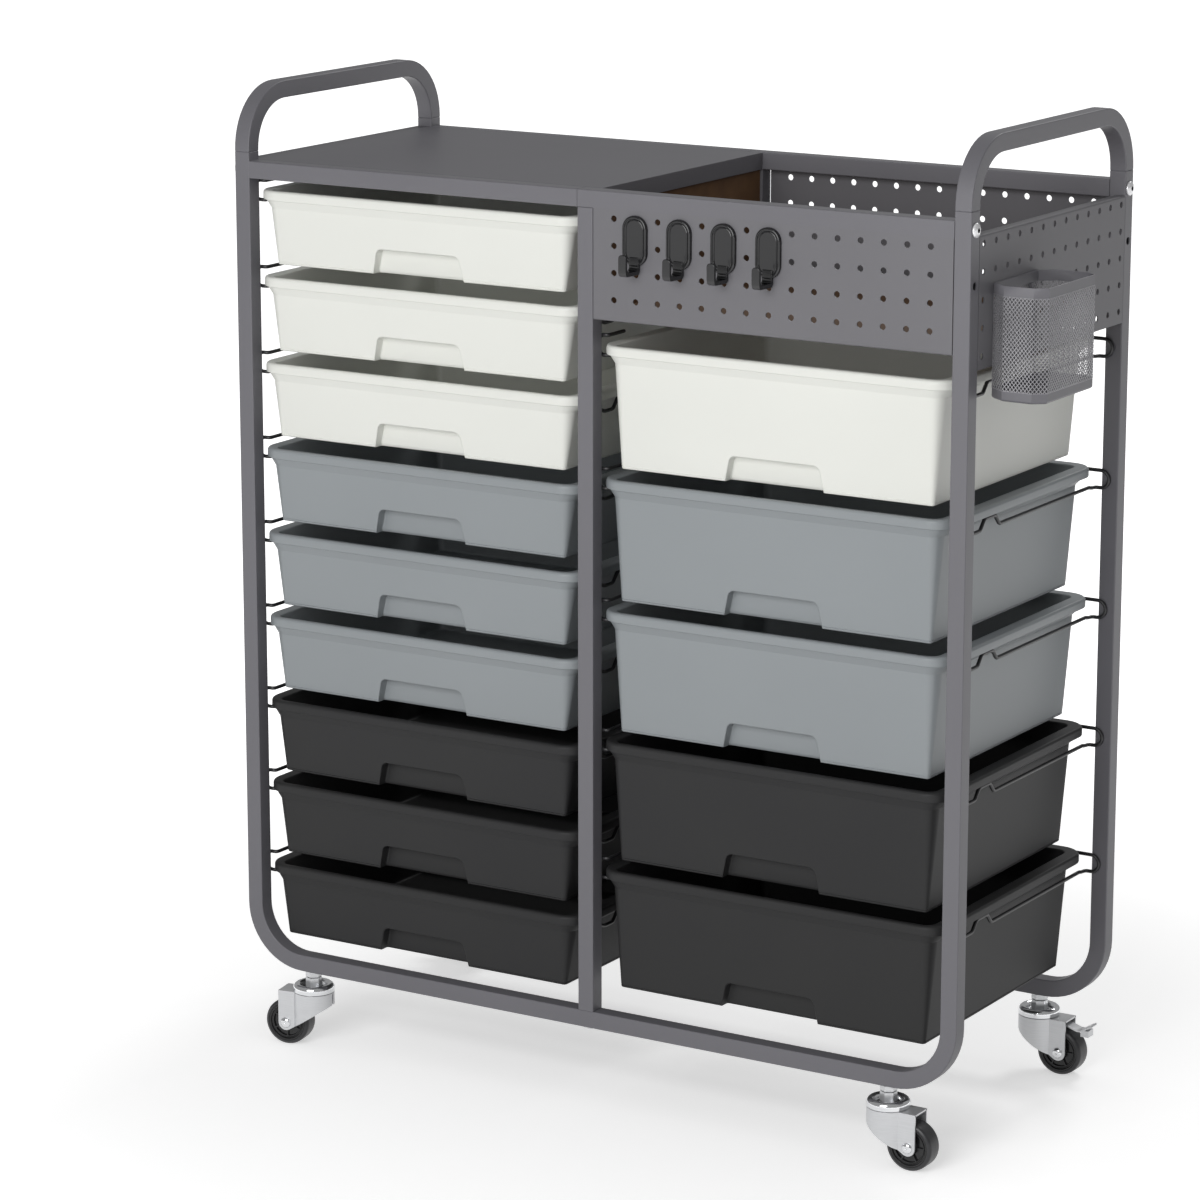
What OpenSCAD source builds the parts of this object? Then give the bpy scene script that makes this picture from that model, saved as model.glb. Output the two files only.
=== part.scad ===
// Rolling drawer cart: a bent square tube frame on four swivel casters.
// Left column of shallow drawers under a top board, right column of deep drawers under an open bin.
// Millimetres, +X right, +Y back, +Z up. The floor is Z = 0.

/* [Frame] */
// Width over the two side tubes
frame_w = 852; // [760:2:960]
// Depth over the front and back tubes
frame_d = 357; // [330:1:420]
// Height from the underside of the bottom rails to the top of the top rails
frame_h = 867; // [800:1:960]
// Outer side of the square tube
tube = 18; // [14:0.5:18]
// Wall of the square tube
tube_wall = 1.5; // [1:0.1:2]
// Outer radius of the lower frame bends
foot_bend_r = 68; // [40:1:68]

/* [Handles] */
// Height of the post ends above the top rails
post_rise = 9; // [9:1:50]
// Height of a handle above the post ends
handle_rise = 68; // [68:1:90]
// Outer radius of the handle bends
handle_bend_r = 66; // [25:1:66]
// Length of the reduced handle end inside the post
spigot_l = 12; // [8:1:12]
// Gap all round the reduced handle end
spigot_gap = 0.1; // [0.05:0.05:0.3]

/* [Rail joints] */
// Length of the threaded plug in a rail end
plug_l = 20; // [12:1:30]
// Shank radius of a rail screw
screw_r = 3; // [2.5:0.25:3.5]
// Head radius of a rail screw
screw_head_r = 7; // [4.5:0.1:7]
// Height of a rail screw head
screw_head_h = 3.2; // [2:0.1:4]
// Radial play of a screw shank in its holes
screw_play = 0.05; // [0.02:0.01:0.1]
// Depth of a rail screw in its threaded plug
screw_grip = 14; // [8:1:16]
// Radius of the empty hole in each post
spare_hole_r = 4; // [3:0.25:5]
// Distance of the empty hole below the rail top
spare_hole_drop = 62; // [50:1:80]

/* [Bin] */
// Thickness of the perforated sheet
panel_t = 1.5; // [1:0.1:2]
// Height of the front and back panels below the top rails
panel_h = 111; // [108:1:130]
// Height of the side panel
side_panel_h = 129; // [126:1:140]
// Distance of the side panel top below the rail top
side_panel_drop = 15; // [5:1:25]
// Width of the inward flange at the foot of the front and back panels
floor_flange = 24; // [20:1:40]
// Width of the inward flange at the top of the side panel
side_flange = 10; // [6:1:16]
// Thickness of the bin floor and of the bin divider
board_t = 3; // [2:0.5:5]
// Distance of the divider face behind the edge of the top board
divider_inset = 3; // [1:0.5:6]

/* [Peg holes] */
// Radius of a peg hole
hole_r = 3.2; // [2.5:0.1:4]
// Columns of holes in the front and back panels
front_cols = 15; // [8:1:15]
// Rows of holes in the front and back panels
front_rows = 4; // [2:1:4]
// Columns of holes in the side panel
side_cols = 13; // [6:1:13]
// Rows of holes in the side panel
side_rows = 5; // [2:1:5]
// Column pitch on the front and back panels
front_pitch = 25; // [20:0.5:25]
// Column pitch on the side panel
side_pitch = 25.25; // [20:0.25:25.25]
// Row pitch on all panels
row_pitch = 27; // [20:0.5:27]
// Distance of the first front row below the rail top
front_first = 26.5; // [22:0.5:28]
// Distance of the first side row below the top of the side panel
side_first = 8.5; // [6:0.5:10]

/* [Drawers] */
// Drawers in the left column
small_rows = 9; // [7:1:10]
// Drawers in the right column
deep_rows = 5; // [4:1:6]
// Gap between a small drawer and the rim below it
small_gap = 13; // [8:0.5:14]
// Gap between a deep drawer and the rim below it
deep_gap = 11; // [8:0.5:14]
// Gap between the top board and the first small rim
small_top_gap = 12; // [11:0.5:20]
// Gap between the side panel and the first deep rim
deep_top_gap = 11; // [6:0.5:16]
// Gap between the bottom rail and the last small drawer
small_foot_gap = 17.5; // [8:0.5:30]
// Gap between the bottom rail and the last deep drawer
deep_foot_gap = 27.5; // [8:0.5:40]
// Gap between a rim and the posts on each side
rim_side_gap = 2; // [1.5:0.1:4]
// Distance of the rims behind the front of the posts
rim_front = 4; // [1:0.5:8]
// Gap between the rims and the back wires
rim_back_gap = 2; // [1:0.5:6]
// Height of the outer lip
lip_h = 10; // [8:0.5:14]
// Height of the ledge under the lip
ledge_h = 8; // [4:0.5:8]
// Overhang of the lip over the ledge at the sides and the back
lip_over = 6.5; // [6:0.25:8]
// Overhang of the ledge over the body at the sides and the back
ledge_over = 6.5; // [3:0.25:8]
// Overhang of the lip over the ledge at the front
lip_over_front = 2.5; // [1:0.25:5]
// Overhang of the ledge over the body at the front
ledge_over_front = 2.5; // [1:0.25:5]
// Inward draft of each side over the height
side_draft = 9; // [4:0.5:12]
// Inward draft of the front over the height
front_draft = 5; // [2:0.5:10]
// Inward draft of the back over the height
back_draft = 7; // [2:0.5:10]
// Corner radius of the lip
rim_r = 26; // [18:1:34]
// Wall of a drawer
drawer_wall = 2.5; // [2:0.1:3]

/* [Finger notches] */
// Width of the notch at the foot of a drawer
notch_w = 112; // [80:1:140]
// Width of the notch at its top
notch_top_w = 99; // [60:1:120]
// Height of the notch
notch_h = 26; // [18:1:32]
// Depth of the notch in the front wall
notch_d = 9; // [6:0.5:12]

/* [Runner wires] */
// Diameter of the runner wire
wire_d = 4; // [3:0.5:4]
// Distance of the wire inside the edge of the rim
wire_in = 4; // [3.5:0.25:4.25]
// Height of the front wire end above the rim
wire_up = 8; // [5:0.5:8]
// Length of the front wire end behind the post
wire_end_l = 30; // [15:1:40]
// Drop of the straight runner below the rim
wire_drop = 22.5; // [20:0.5:26]
// Gap between the lip and the raised part of the runner
wire_gap = 0.3; // [0.2:0.1:1]
// Drop of the lower back branch below the rim
back_low = 24.5; // [22:0.5:28]
// Drop of the back bar below the rim
back_high = 6.5; // [5:0.5:9]
// Sideways bulge of the loops on the corner posts
outer_bulge = 9; // [6:0.5:9]
// Sideways bulge of the loops on the middle posts
inner_bulge = 5.5; // [3:0.5:5.5]
// Gap left between a wire and the post that it is welded to
weld_gap = 0.15; // [0.05:0.05:0.3]

/* [Peg hooks] */
// Width of a hook plate
hook_w = 28; // [22:1:34]
// Height of a hook plate
hook_h = 50; // [42:1:54]
// Drop of the plate centre below the middle of the two peg rows
hook_low = 6.5; // [4:0.5:8]
// Thickness of a hook plate
hook_t = 4; // [3:0.5:6]
// Forward reach of the hook in front of the panel
hook_reach = 26; // [20:1:34]
// Width of the curved arm
arm_w = 11; // [8:0.5:14]
// Drop of the arm below the plate
arm_drop = 8; // [6:1:18]
// Height of the upturned tip
tip_h = 22; // [14:1:28]
// Radial play of a peg in its hole
peg_play = 0.2; // [0.1:0.05:0.4]

/* [Pen cup] */
// Length of the cup along the side panel
cup_l = 118; // [90:1:140]
// Depth of the cup away from the side panel
cup_d = 60; // [45:1:70]
// Height of the cup
cup_h = 111; // [90:1:130]
// Distance of the cup rim below the rail top
cup_drop = 64; // [55:1:70]
// Distance of the front of the cup behind the front of the posts
cup_front = 37; // [30:1:60]
// Wall of the cup
cup_wall = 1.2; // [1:0.1:2]
// Height of the plain bands at the rim and the foot
cup_band = 10.5; // [6:0.5:16]
// Width of a mesh opening
mesh_w = 6; // [4:0.5:7]
// Height of a mesh opening
mesh_h = 7; // [4:0.5:8]

/* [Casters] */
// Height from the floor to the underside of the bottom rails
caster_h = 83; // [83:0.5:95]
// Distance of a stem from the side of the frame
caster_inset = 78; // [77:1:110]
// Wheel radius
wheel_r = 25; // [22:0.5:25]
// Wheel width
wheel_w = 21.4; // [18:0.2:21.4]
// Radius of the hub inside the tyre
hub_r = 21; // [17:0.5:21]
// Distance of the axle behind the stem
trail = 28; // [24:0.5:30]
// Radius of the fork cup
fork_r = 22; // [21:0.5:22]
// Width of the fork over its side plates
fork_w = 26; // [26:0.5:30]
// Thickness of the fork sheet
fork_t = 1.8; // [1.5:0.1:2]
// Distance of the fork top below the rails
fork_drop = 22.5; // [22.5:0.5:24]
// Radius of the fork round the axle
lug_r = 8.5; // [7.5:0.25:9]
// Axle radius
axle_r = 4; // [3:0.25:4.5]
// Stem radius
stem_r = 5; // [4:0.25:6]
// Radius of the raceway cover
race_r = 22.3; // [21.5:0.1:24]
// Running gap between turning pieces
run_gap = 0.05; // [0.02:0.01:0.1]
// Direction of each caster about its stem: front left, front right, back left, back right
caster_yaw = [190, 0, 170, 0];

/* [Brakes] */
// Width of a brake lever
lever_w = 14; // [10:0.5:18]
// Thickness of a brake lever
lever_t = 2; // [1.5:0.1:2.5]
// Radius of a brake pivot pin
pivot_r = 1.6; // [1.2:0.1:1.8]

/* [Hidden] */
CASTERS = ["front_left", "front_right", "back_left", "back_right"];
$fn = 48;

frame_grey = "#5c5b60";
sheet_grey = "#626166";
wire_black = "#222224";
board_brown = "#8a6a3c";
chrome_grey = "#d9dadc";
zinc_grey = "#b4b6b8";
small_colours = ["#e7e8e2", "#9ba0a2", "#303031"];
deep_colours = ["#e7e8e2", "#9ba0a2", "#9ba0a2", "#303031", "#303031"];

// Main planes and lines of the frame
half_w = frame_w / 2;
half_d = frame_d / 2;
rail_z = caster_h;
top_z = rail_z + frame_h;
post_top = top_z + post_rise;
inner_x = half_w - tube;
inner_y = half_d - tube;
opening_w = (frame_w - 3 * tube) / 2;
col_x = (opening_w + tube) / 2;
screw_z = top_z - tube / 2;
bore_w = tube - 2 * tube_wall;

// Centre of the bounding box, which the row origin stands under
cup_x1 = half_w + cup_d;
hook_y0 = -half_d - hook_reach;
left_edge = -half_w - screw_head_h;
stem_y = half_d - tube / 2;
back_edge = stem_y + race_r;
mid_x = (left_edge + cup_x1) / 2;
mid_y = (hook_y0 + back_edge) / 2;

// Drawer stacks
small_top_z = top_z - tube - small_top_gap;
small_pitch = (small_top_z - rail_z - tube - small_foot_gap + small_gap) / small_rows;
small_h = small_pitch - small_gap;
side_panel_z = top_z - side_panel_drop - side_panel_h;
deep_top_z = side_panel_z - deep_top_gap;
deep_pitch = (deep_top_z - rail_z - tube - deep_foot_gap + deep_gap) / deep_rows;
deep_h = deep_pitch - deep_gap;
rim_w = opening_w - 2 * rim_side_gap;
wire_r = wire_d / 2;
front_wire_y = tube + wire_r + weld_gap;
back_wire_y = frame_d - tube - wire_r - weld_gap;
rim_d = back_wire_y - wire_r - rim_back_gap - rim_front;
wire_low = lip_h + wire_gap + wire_r;

// Levels of the bin
panel_z = top_z - tube - panel_h;
floor_z = panel_z + panel_t;
divider_x = tube / 2 - divider_inset;

// Levels of a caster
stem_x = half_w - caster_inset;
fork_z = caster_h - fork_drop;
race_z = fork_z + 0.3;
nut_h = 6.2;
nut_r = 8.7;
collar_z = caster_h - 2 * nut_h - 0.5;
stem_grip = 12;
lug_x = trail + lug_r;

function unit(v) = v / norm(v);
function arc(c, r, a0, a1, n) =
    [for (i = [0:n]) let (a = a0 + (a1 - a0) * i / n) c + r * [cos(a), sin(a)]];

// One level of a rounded rectangle, counter-clockwise
function level(x, y0, y1, r, z, n = 4) =
    [for (c = [[x - r, y0 + r, -90], [x - r, y1 - r, 0], [r - x, y1 - r, 90], [r - x, y0 + r, 180]])
        for (i = [0:n]) let (a = c.z + 90 * i / n) [c.x + r * cos(a), c.y + r * sin(a), z]];

// Corner p1 of a route, eased over the distance d
function ease(p0, p1, p2, d, n) =
    let (a = p1 + d * unit(p0 - p1), b = p1 + d * unit(p2 - p1))
    [for (i = [0:n]) let (t = i / n) (1 - t) * (1 - t) * a + 2 * t * (1 - t) * p1 + t * t * b];

// Directions along a route, and side vectors carried along it without twist
function tangents(p) = let (n = len(p))
    [for (i = [0:n - 1]) unit(p[min(i + 1, n - 1)] - p[max(i - 1, 0)])];
function carried(t, i, v) = i == len(t) ? [] :
    let (s = unit(v - (v * t[i]) * t[i])) concat([s], carried(t, i + 1, s));

// A closed skin over a list of levels
module loft(levels) {
    m = len(levels[0]);
    k = len(levels);
    skin = [for (j = [0:k - 2]) for (i = [0:m - 1])
        let (a = j * m + i, b = j * m + (i + 1) % m) each [[a, a + m, b + m], [a, b + m, b]]];
    foot = [for (i = [0:m - 1]) i];
    head = [for (i = [m - 1:-1:0]) (k - 1) * m + i];
    polyhedron([for (l = levels) each l], concat([foot], skin, [head]), convexity = 8);
}

// A round wire along a route
module wire(route, r, sides) {
    t = tangents(route);
    s = carried(t, 0, [0.31, 0.23, 0.92]);
    loft([for (i = [0:len(route) - 1]) let (b = cross(t[i], s[i]))
        [for (j = [0:sides - 1]) let (a = 360 * j / sides) route[i] + r * (cos(a) * s[i] + sin(a) * b)]]);
}

// Shifts a piece from the cart's centre to the row origin
module place() translate([-mid_x, -mid_y, 0]) children();

// Square tube: section, straight length and quarter bend
module section(side, bore) {
    difference() {
        square(side, center = true);
        square(bore, center = true);
    }
}
module run(length) linear_extrude(length) section(tube, bore_w);
module quarter(r) rotate_extrude(angle = 90, $fn = 96) translate([r - tube / 2, 0]) section(tube, bore_w);

// A tube bent to a U in the XY plane, its foot on Y = 0
module bent_tube(width, leg, r) {
    translate([r - width / 2, tube / 2, 0]) rotate([0, 90, 0]) run(width - 2 * r);
    translate([width / 2 - r, r, 0]) rotate([0, 0, -90]) quarter(r);
    translate([r - width / 2, r, 0]) rotate([0, 0, 180]) quarter(r);
    for (s = [-1, 1]) translate([s * (width - tube) / 2, r, 0]) rotate([-90, 0, 0]) run(leg - r);
}

// Round cutter along X, Y or Z through a wall
module bore_x(r, l) rotate([0, 90, 0]) cylinder(r = r, h = l, center = true);
module bore_y(r, l) rotate([90, 0, 0]) cylinder(r = r, h = l, center = true);

// Front or back frame, with the holes for its screws and its two caster stems
module main_frame(y_side) {
    color(frame_grey) place() difference() {
        translate([0, y_side * stem_y, rail_z]) rotate([90, 0, 0])
            bent_tube(frame_w, post_top - rail_z, foot_bend_r);
        for (s = [-1, 1]) {
            translate([s * (half_w - tube / 2), y_side * stem_y, screw_z]) bore_x(screw_r + screw_play, tube + 2);
            translate([s * half_w, y_side * stem_y, top_z - spare_hole_drop]) bore_x(spare_hole_r, 2 * tube_wall + 2);
            translate([s * stem_x, y_side * stem_y, rail_z - 1]) cylinder(r = stem_r, h = tube_wall + 2);
        }
        translate([0, y_side * stem_y, rail_z - 1]) cylinder(r = screw_r + screw_play, h = tube + 2);
    }
}

// Side handle with its two reduced ends inside the posts
module handle(x_side) {
    color(frame_grey) place() {
        translate([x_side * (half_w - tube / 2), 0, post_top + handle_rise]) rotate([90, 0, 90]) mirror([0, 1, 0])
            bent_tube(frame_d, handle_rise, handle_bend_r);
        for (s = [-1, 1]) translate([x_side * (half_w - tube / 2), s * stem_y, post_top]) {
            linear_extrude(handle_rise - handle_bend_r) section(bore_w, bore_w - 2 * spigot_gap - 2 * tube_wall);
            mirror([0, 0, 1]) linear_extrude(spigot_l)
                section(bore_w - 2 * spigot_gap, bore_w - 2 * spigot_gap - 2 * tube_wall);
        }
    }
}

module middle_post(y_side) {
    color(frame_grey) place() translate([0, y_side * stem_y, rail_z + tube])
        run(frame_h - 2 * tube);
}

module top_rail(y_side) {
    color(frame_grey) place() translate([-inner_x, y_side * stem_y, screw_z]) rotate([0, 90, 0])
        run(2 * inner_x);
}

// Threaded plugs in the rail ends and in the feet of the middle posts
module rail_plugs() {
    color("#2c2c2e") place() for (y_side = [-1, 1]) {
        for (x_side = [-1, 1]) translate([x_side * (inner_x - plug_l / 2), y_side * stem_y, screw_z]) difference() {
            cube([plug_l, bore_w, bore_w], center = true);
            bore_x(screw_r, plug_l + 2);
        }
        translate([0, y_side * stem_y, rail_z + tube + plug_l / 2]) difference() {
            cube([bore_w, bore_w, plug_l], center = true);
            cylinder(r = screw_r, h = plug_l + 2, center = true);
        }
    }
}

// Round head screw pointing along -Z, its head standing on Z = 0
module round_screw(length) {
    difference() {
        rotate_extrude() polygon(concat(
            [[0, -length], [screw_r - screw_play, -length], [screw_r - screw_play, 0], [screw_head_r, 0]],
            [[screw_head_r, screw_head_h * 0.35], [screw_head_r * 0.78, screw_head_h * 0.8]],
            [[screw_head_r * 0.5, screw_head_h], [0, screw_head_h]]));
        translate([0, 0, screw_head_h * 0.45]) cylinder(r = screw_r * 0.7, h = screw_head_h, $fn = 6);
    }
}

module rail_screws() {
    color(chrome_grey) place() for (x_side = [-1, 1]) for (y_side = [-1, 1])
        translate([x_side * half_w, y_side * stem_y, screw_z]) rotate([0, x_side * 90, 0])
            round_screw(tube + screw_grip);
}

module post_screws() {
    color(chrome_grey) place() for (y_side = [-1, 1])
        translate([0, y_side * stem_y, rail_z]) rotate([180, 0, 0]) round_screw(tube + screw_grip);
}

// Board over the left column, flush with the rails
module top_board() {
    color(frame_grey) place() translate([-half_w, -inner_y, top_z - tube])
        cube([half_w + tube / 2, 2 * inner_y, tube]);
}

// Centres of a grid of peg holes, as [along, down] steps from the middle of the first row
function pegs(cols, rows, pitch) =
    [for (i = [0:cols - 1]) for (j = [0:rows - 1]) [(i - (cols - 1) / 2) * pitch, j * row_pitch]];

// Perforated sheet between a middle post and a corner post, with a flange under the bin floor
module bin_panel(y_side) {
    color(sheet_grey) place() difference() {
        union() {
            translate([tube / 2, y_side * (half_d - panel_t / 2) - panel_t / 2, panel_z])
                cube([opening_w, panel_t, panel_h]);
            translate([tube / 2, y_side * (half_d - floor_flange / 2) - floor_flange / 2, panel_z])
                cube([opening_w, floor_flange, panel_t]);
        }
        for (p = pegs(front_cols, front_rows, front_pitch))
            translate([col_x + p.x, y_side * (half_d - panel_t / 2), top_z - front_first - p.y])
                bore_y(hole_r, panel_t + 2);
    }
}

// Perforated sheet at the right end, with a flange turned in at its top
module side_panel() {
    color(sheet_grey) place() difference() {
        union() {
            translate([half_w - panel_t, -inner_y, side_panel_z]) cube([panel_t, 2 * inner_y, side_panel_h]);
            translate([half_w - side_flange, -inner_y, side_panel_z + side_panel_h - panel_t])
                cube([side_flange, 2 * inner_y, panel_t]);
        }
        for (p = pegs(side_cols, side_rows, side_pitch))
            translate([half_w - panel_t / 2, p.x, side_panel_z + side_panel_h - side_first - p.y])
                bore_x(hole_r, panel_t + 2);
    }
}

module bin_floor() {
    color(board_brown) place() translate([divider_x - board_t, -inner_y, floor_z])
        cube([half_w - panel_t - divider_x + board_t, 2 * inner_y, board_t]);
}

module bin_divider() {
    color(board_brown) place() translate([divider_x - board_t, -inner_y, floor_z + board_t])
        cube([board_t, 2 * inner_y, top_z - tube - floor_z - board_t]);
}

// Half of a runner, from its free front end to the back bar: [sideways, back, up] from the rim
function half_runner(side, bulge) = let (
    x = rim_w / 2 - wire_in,
    loop_x = opening_w / 2,
    low = -wire_low,
    front_mid = (wire_up + low) / 2,
    front_half = (wire_up - low) / 2,
    back_mid = -(back_low + back_high) / 2,
    back_half = (back_low - back_high) / 2,
    turn = 90,
    points = concat(
        [[x, front_wire_y + wire_end_l, wire_up]],
        ease([x, front_wire_y + 9, wire_up], [x, front_wire_y, wire_up], [loop_x, front_wire_y, wire_up], 3.5, 1),
        [for (a = [turn:-45:-turn]) [loop_x + bulge * cos(a), front_wire_y, front_mid + front_half * sin(a)]],
        ease([loop_x, front_wire_y, low], [x, front_wire_y, low], [x, front_wire_y + 9, low], 3.5, 1),
        [[x, 36, low - 1.5], [x, 62, -wire_drop], [x, 78, -wire_drop], [x, 87, low], [x, 110, low]],
        [[x, 119, -wire_drop], [x, back_wire_y - 14, -wire_drop]],
        ease([x, back_wire_y - 9, -back_low], [x - 1, back_wire_y, -back_low], [loop_x, back_wire_y, -back_low], 4, 1),
        [for (a = [-turn:45:turn]) [loop_x + bulge * cos(a), back_wire_y, back_mid + back_half * sin(a)]]))
    [for (p = points) [side * p.x, p.y - half_d, p.z]];

// One bent wire that carries a drawer: both runners and the bar behind the drawer
module runner_wire(x, rim_z, left_bulge, right_bulge) {
    right = half_runner(1, right_bulge);
    left = half_runner(-1, left_bulge);
    n = len(left);
    translate([x, 0, rim_z]) wire(concat(right, [for (i = [n - 1:-1:0]) left[i]]), wire_r, 6);
}

module left_runner_wires() {
    color(wire_black) place() for (i = [0:small_rows - 1])
        runner_wire(-col_x, small_top_z - i * small_pitch, outer_bulge, inner_bulge);
}

module right_runner_wires() {
    color(wire_black) place() for (i = [0:deep_rows - 1])
        runner_wire(col_x, deep_top_z - i * deep_pitch, inner_bulge, outer_bulge);
}

// Outline of a drawer, set in from the lip by the given distances
function drawer_level(side_in, front_in, back_in, z) =
    level(rim_w / 2 - side_in, rim_front - half_d + front_in, rim_front + rim_d - half_d - back_in,
        max(rim_r - side_in, 1.5), z);

// Trapezoid of a finger notch, grown by the distance g
module notch(g, y0, depth) {
    translate([0, y0 + depth, 0]) rotate([90, 0, 0]) linear_extrude(depth)
        polygon([[-notch_w / 2 - g, -1], [notch_w / 2 + g, -1], [notch_top_w / 2 + g, notch_h + g],
            [-notch_top_w / 2 - g, notch_h + g]]);
}

// Plastic drawer: drafted body, ledge, lip, open top and a finger notch at the foot of the front
module drawer(x, rim_z, h, colour) {
    ledge_z = h - lip_h - ledge_h;
    lip_z = h - lip_h;
    body_in = lip_over + ledge_over;
    body_front = lip_over_front + ledge_over_front;
    foot_y = rim_front - half_d + body_front + front_draft;
    color(colour) place() translate([x, 0, rim_z - h]) difference() {
        loft([
            drawer_level(body_in + side_draft, body_front + front_draft, body_in + back_draft, 0),
            drawer_level(body_in, body_front, body_in, ledge_z),
            drawer_level(lip_over, lip_over_front, lip_over, ledge_z),
            drawer_level(lip_over, lip_over_front, lip_over, lip_z),
            drawer_level(0, 0, 0, lip_z),
            drawer_level(0, 0, 0, h)]);
        difference() {
            loft([
                drawer_level(body_in + side_draft + drawer_wall, body_front + front_draft + drawer_wall,
                    body_in + back_draft + drawer_wall, drawer_wall),
                drawer_level(body_in + drawer_wall, body_front + 3 * drawer_wall, body_in + drawer_wall, h),
                drawer_level(body_in + drawer_wall, body_front + 3 * drawer_wall, body_in + drawer_wall, h + 1)]);
            notch(drawer_wall, foot_y - 4, notch_d + drawer_wall + 4);
        }
        notch(0, foot_y - front_draft - 4, front_draft + 4 + notch_d);
    }
}

module small_drawer(i) {
    drawer(-col_x, small_top_z - (i - 1) * small_pitch, small_h, small_colours[floor((i - 1) * 3 / small_rows)]);
}

module deep_drawer(i) {
    drawer(col_x, deep_top_z - (i - 1) * deep_pitch, deep_h, deep_colours[min(i - 1, 4)]);
}

// Plate with round ends in the XZ plane, its centre at the origin
module stadium(w, h, t) {
    translate([0, t, 0]) rotate([90, 0, 0]) linear_extrude(t)
        polygon(concat(arc([0, (h - w) / 2], w / 2, 0, 180, 14), arc([0, (w - h) / 2], w / 2, 180, 360, 14)));
}

// Hook over the first two rows, on every second column of holes
module peg_hook(i) {
    x = col_x + (2 * i - 1 - (front_cols - 1) / 2) * front_pitch;
    plate_z = top_z - front_first - row_pitch / 2 - hook_low;
    foot_z = plate_z - hook_h / 2;
    front = -half_d;
    color("#38383a") place() translate([x, 0, 0]) {
        difference() {
            translate([0, front - hook_t, plate_z]) stadium(hook_w, hook_h, hook_t);
            translate([0, front - hook_t - 1, plate_z]) stadium(hook_w - 7, hook_h - 7, 2);
        }
        translate([-arm_w / 2, 0, 0]) rotate([90, 0, 90]) linear_extrude(arm_w) polygon([
            [front, foot_z + 6], [front, foot_z - arm_drop + 3], [front - 3, foot_z - arm_drop],
            [front - hook_reach + 3, foot_z - arm_drop], [front - hook_reach, foot_z - arm_drop + 3],
            [front - hook_reach, foot_z - arm_drop + tip_h], [front - hook_reach + 3.5, foot_z - arm_drop + tip_h],
            [front - hook_reach + 3.5, foot_z - arm_drop + 4], [front - hook_t, foot_z - arm_drop + 4],
            [front - hook_t, foot_z + 6]]);
        for (row = [0, 1]) translate([0, front + panel_t + 1, top_z - front_first - row * row_pitch])
            bore_y(hole_r - peg_play, 2 * panel_t + 2);
    }
}

// Plan of the cup, set in by the wall: [away from the panel, back]
function cup_plan(t) = let (
    inner_x = 16.5, inner_y = 12 - t / 2, outer_x = 12, outer_y = 9.5)
    [[t, inner_y], [inner_x, t], [cup_d - outer_x - t / 2, t], [cup_d - t, outer_y + t / 2],
     [cup_d - t, cup_l - outer_y - t / 2], [cup_d - outer_x - t / 2, cup_l - t], [inner_x, cup_l - t],
     [t, cup_l - inner_y]];

// Diamond openings through one flat of the cup, from corner a to corner b of the plan
module mesh_flat(a, b) {
    length = norm(b - a);
    dir = (b - a) / length;
    cols = floor((length - 2) / (mesh_w + 1.6));
    rows = floor((cup_h - 2 * cup_band) / (mesh_h + 1.6));
    pitch = (cup_h - 2 * cup_band) / rows;
    translate([a.x, a.y, 0]) rotate([90, 0, atan2(dir.y, dir.x)])
        for (i = [0:cols - 1]) for (j = [0:rows - 1])
            translate([length / 2 + (i - (cols - 1) / 2) * (mesh_w + 1.6), cup_band + (j + 0.5) * pitch, -2.5])
                linear_extrude(5) polygon([[-mesh_w / 2, 0], [0, -mesh_h / 2], [mesh_w / 2, 0], [0, mesh_h / 2]]);
}

// Wire mesh cup hung on the side panel by two pegs
module pen_cup() {
    plan = cup_plan(0);
    rim = top_z - cup_drop;
    first_y = -(side_cols - 1) / 2 * side_pitch;
    peg_row = round((top_z - side_panel_drop - side_first - rim) / row_pitch + 0.4);
    color(frame_grey) place() translate([half_w, 0, 0]) {
        translate([0, cup_front - half_d, rim - cup_h]) difference() {
            linear_extrude(cup_h) polygon(plan);
            translate([0, 0, cup_wall]) linear_extrude(cup_h) polygon(cup_plan(cup_wall));
            for (i = [0:6]) mesh_flat(plan[i], plan[i + 1]);
        }
        for (i = [2, 4]) translate([0, first_y + i * side_pitch,
                top_z - side_panel_drop - side_first - peg_row * row_pitch])
            bore_x(hole_r - peg_play, 2 * panel_t + 3);
    }
}

// Stands a caster piece on its stem; in its own frame the wheel trails along +X
module on_caster(c) {
    x_side = c % 2 == 0 ? -1 : 1;
    y_side = c < 2 ? -1 : 1;
    place() translate([x_side * stem_x, y_side * stem_y, 0]) rotate([0, 0, caster_yaw[c]]) children();
}

// Threaded stem with its hex collar and the riveted end inside the fork
module caster_stems() {
    color(zinc_grey) for (c = [0:3]) on_caster(c) {
        translate([0, 0, fork_z - fork_t - 4.3]) cylinder(r = stem_r + 2.4, h = 4);
        translate([0, 0, fork_z - fork_t - 4.3]) cylinder(r = stem_r, h = caster_h + stem_grip - fork_z + fork_t + 4.3);
        translate([0, 0, collar_z]) cylinder(r = nut_r, h = nut_h, $fn = 6);
    }
}

module caster_jam_nuts() {
    color(zinc_grey) for (c = [0:3]) on_caster(c) translate([0, 0, caster_h - nut_h]) difference() {
        cylinder(r = nut_r, h = nut_h, $fn = 6);
        translate([0, 0, -1]) cylinder(r = stem_r, h = nut_h + 2);
    }
}

// Dished raceway cover between the collar and the fork
module caster_races() {
    rise = collar_z - race_z;
    color(chrome_grey) for (c = [0:3]) on_caster(c) translate([0, 0, race_z]) rotate_extrude($fn = 64)
        polygon([[stem_r, 0], [race_r, 0], [race_r, rise * 0.5], [race_r - 1.2, rise * 0.82],
            [race_r - 3.4, rise], [race_r - 5.5, rise * 0.9], [nut_r + 1.5, rise * 0.55], [nut_r, rise * 0.5],
            [nut_r, rise], [stem_r, rise]]);
}

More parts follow.
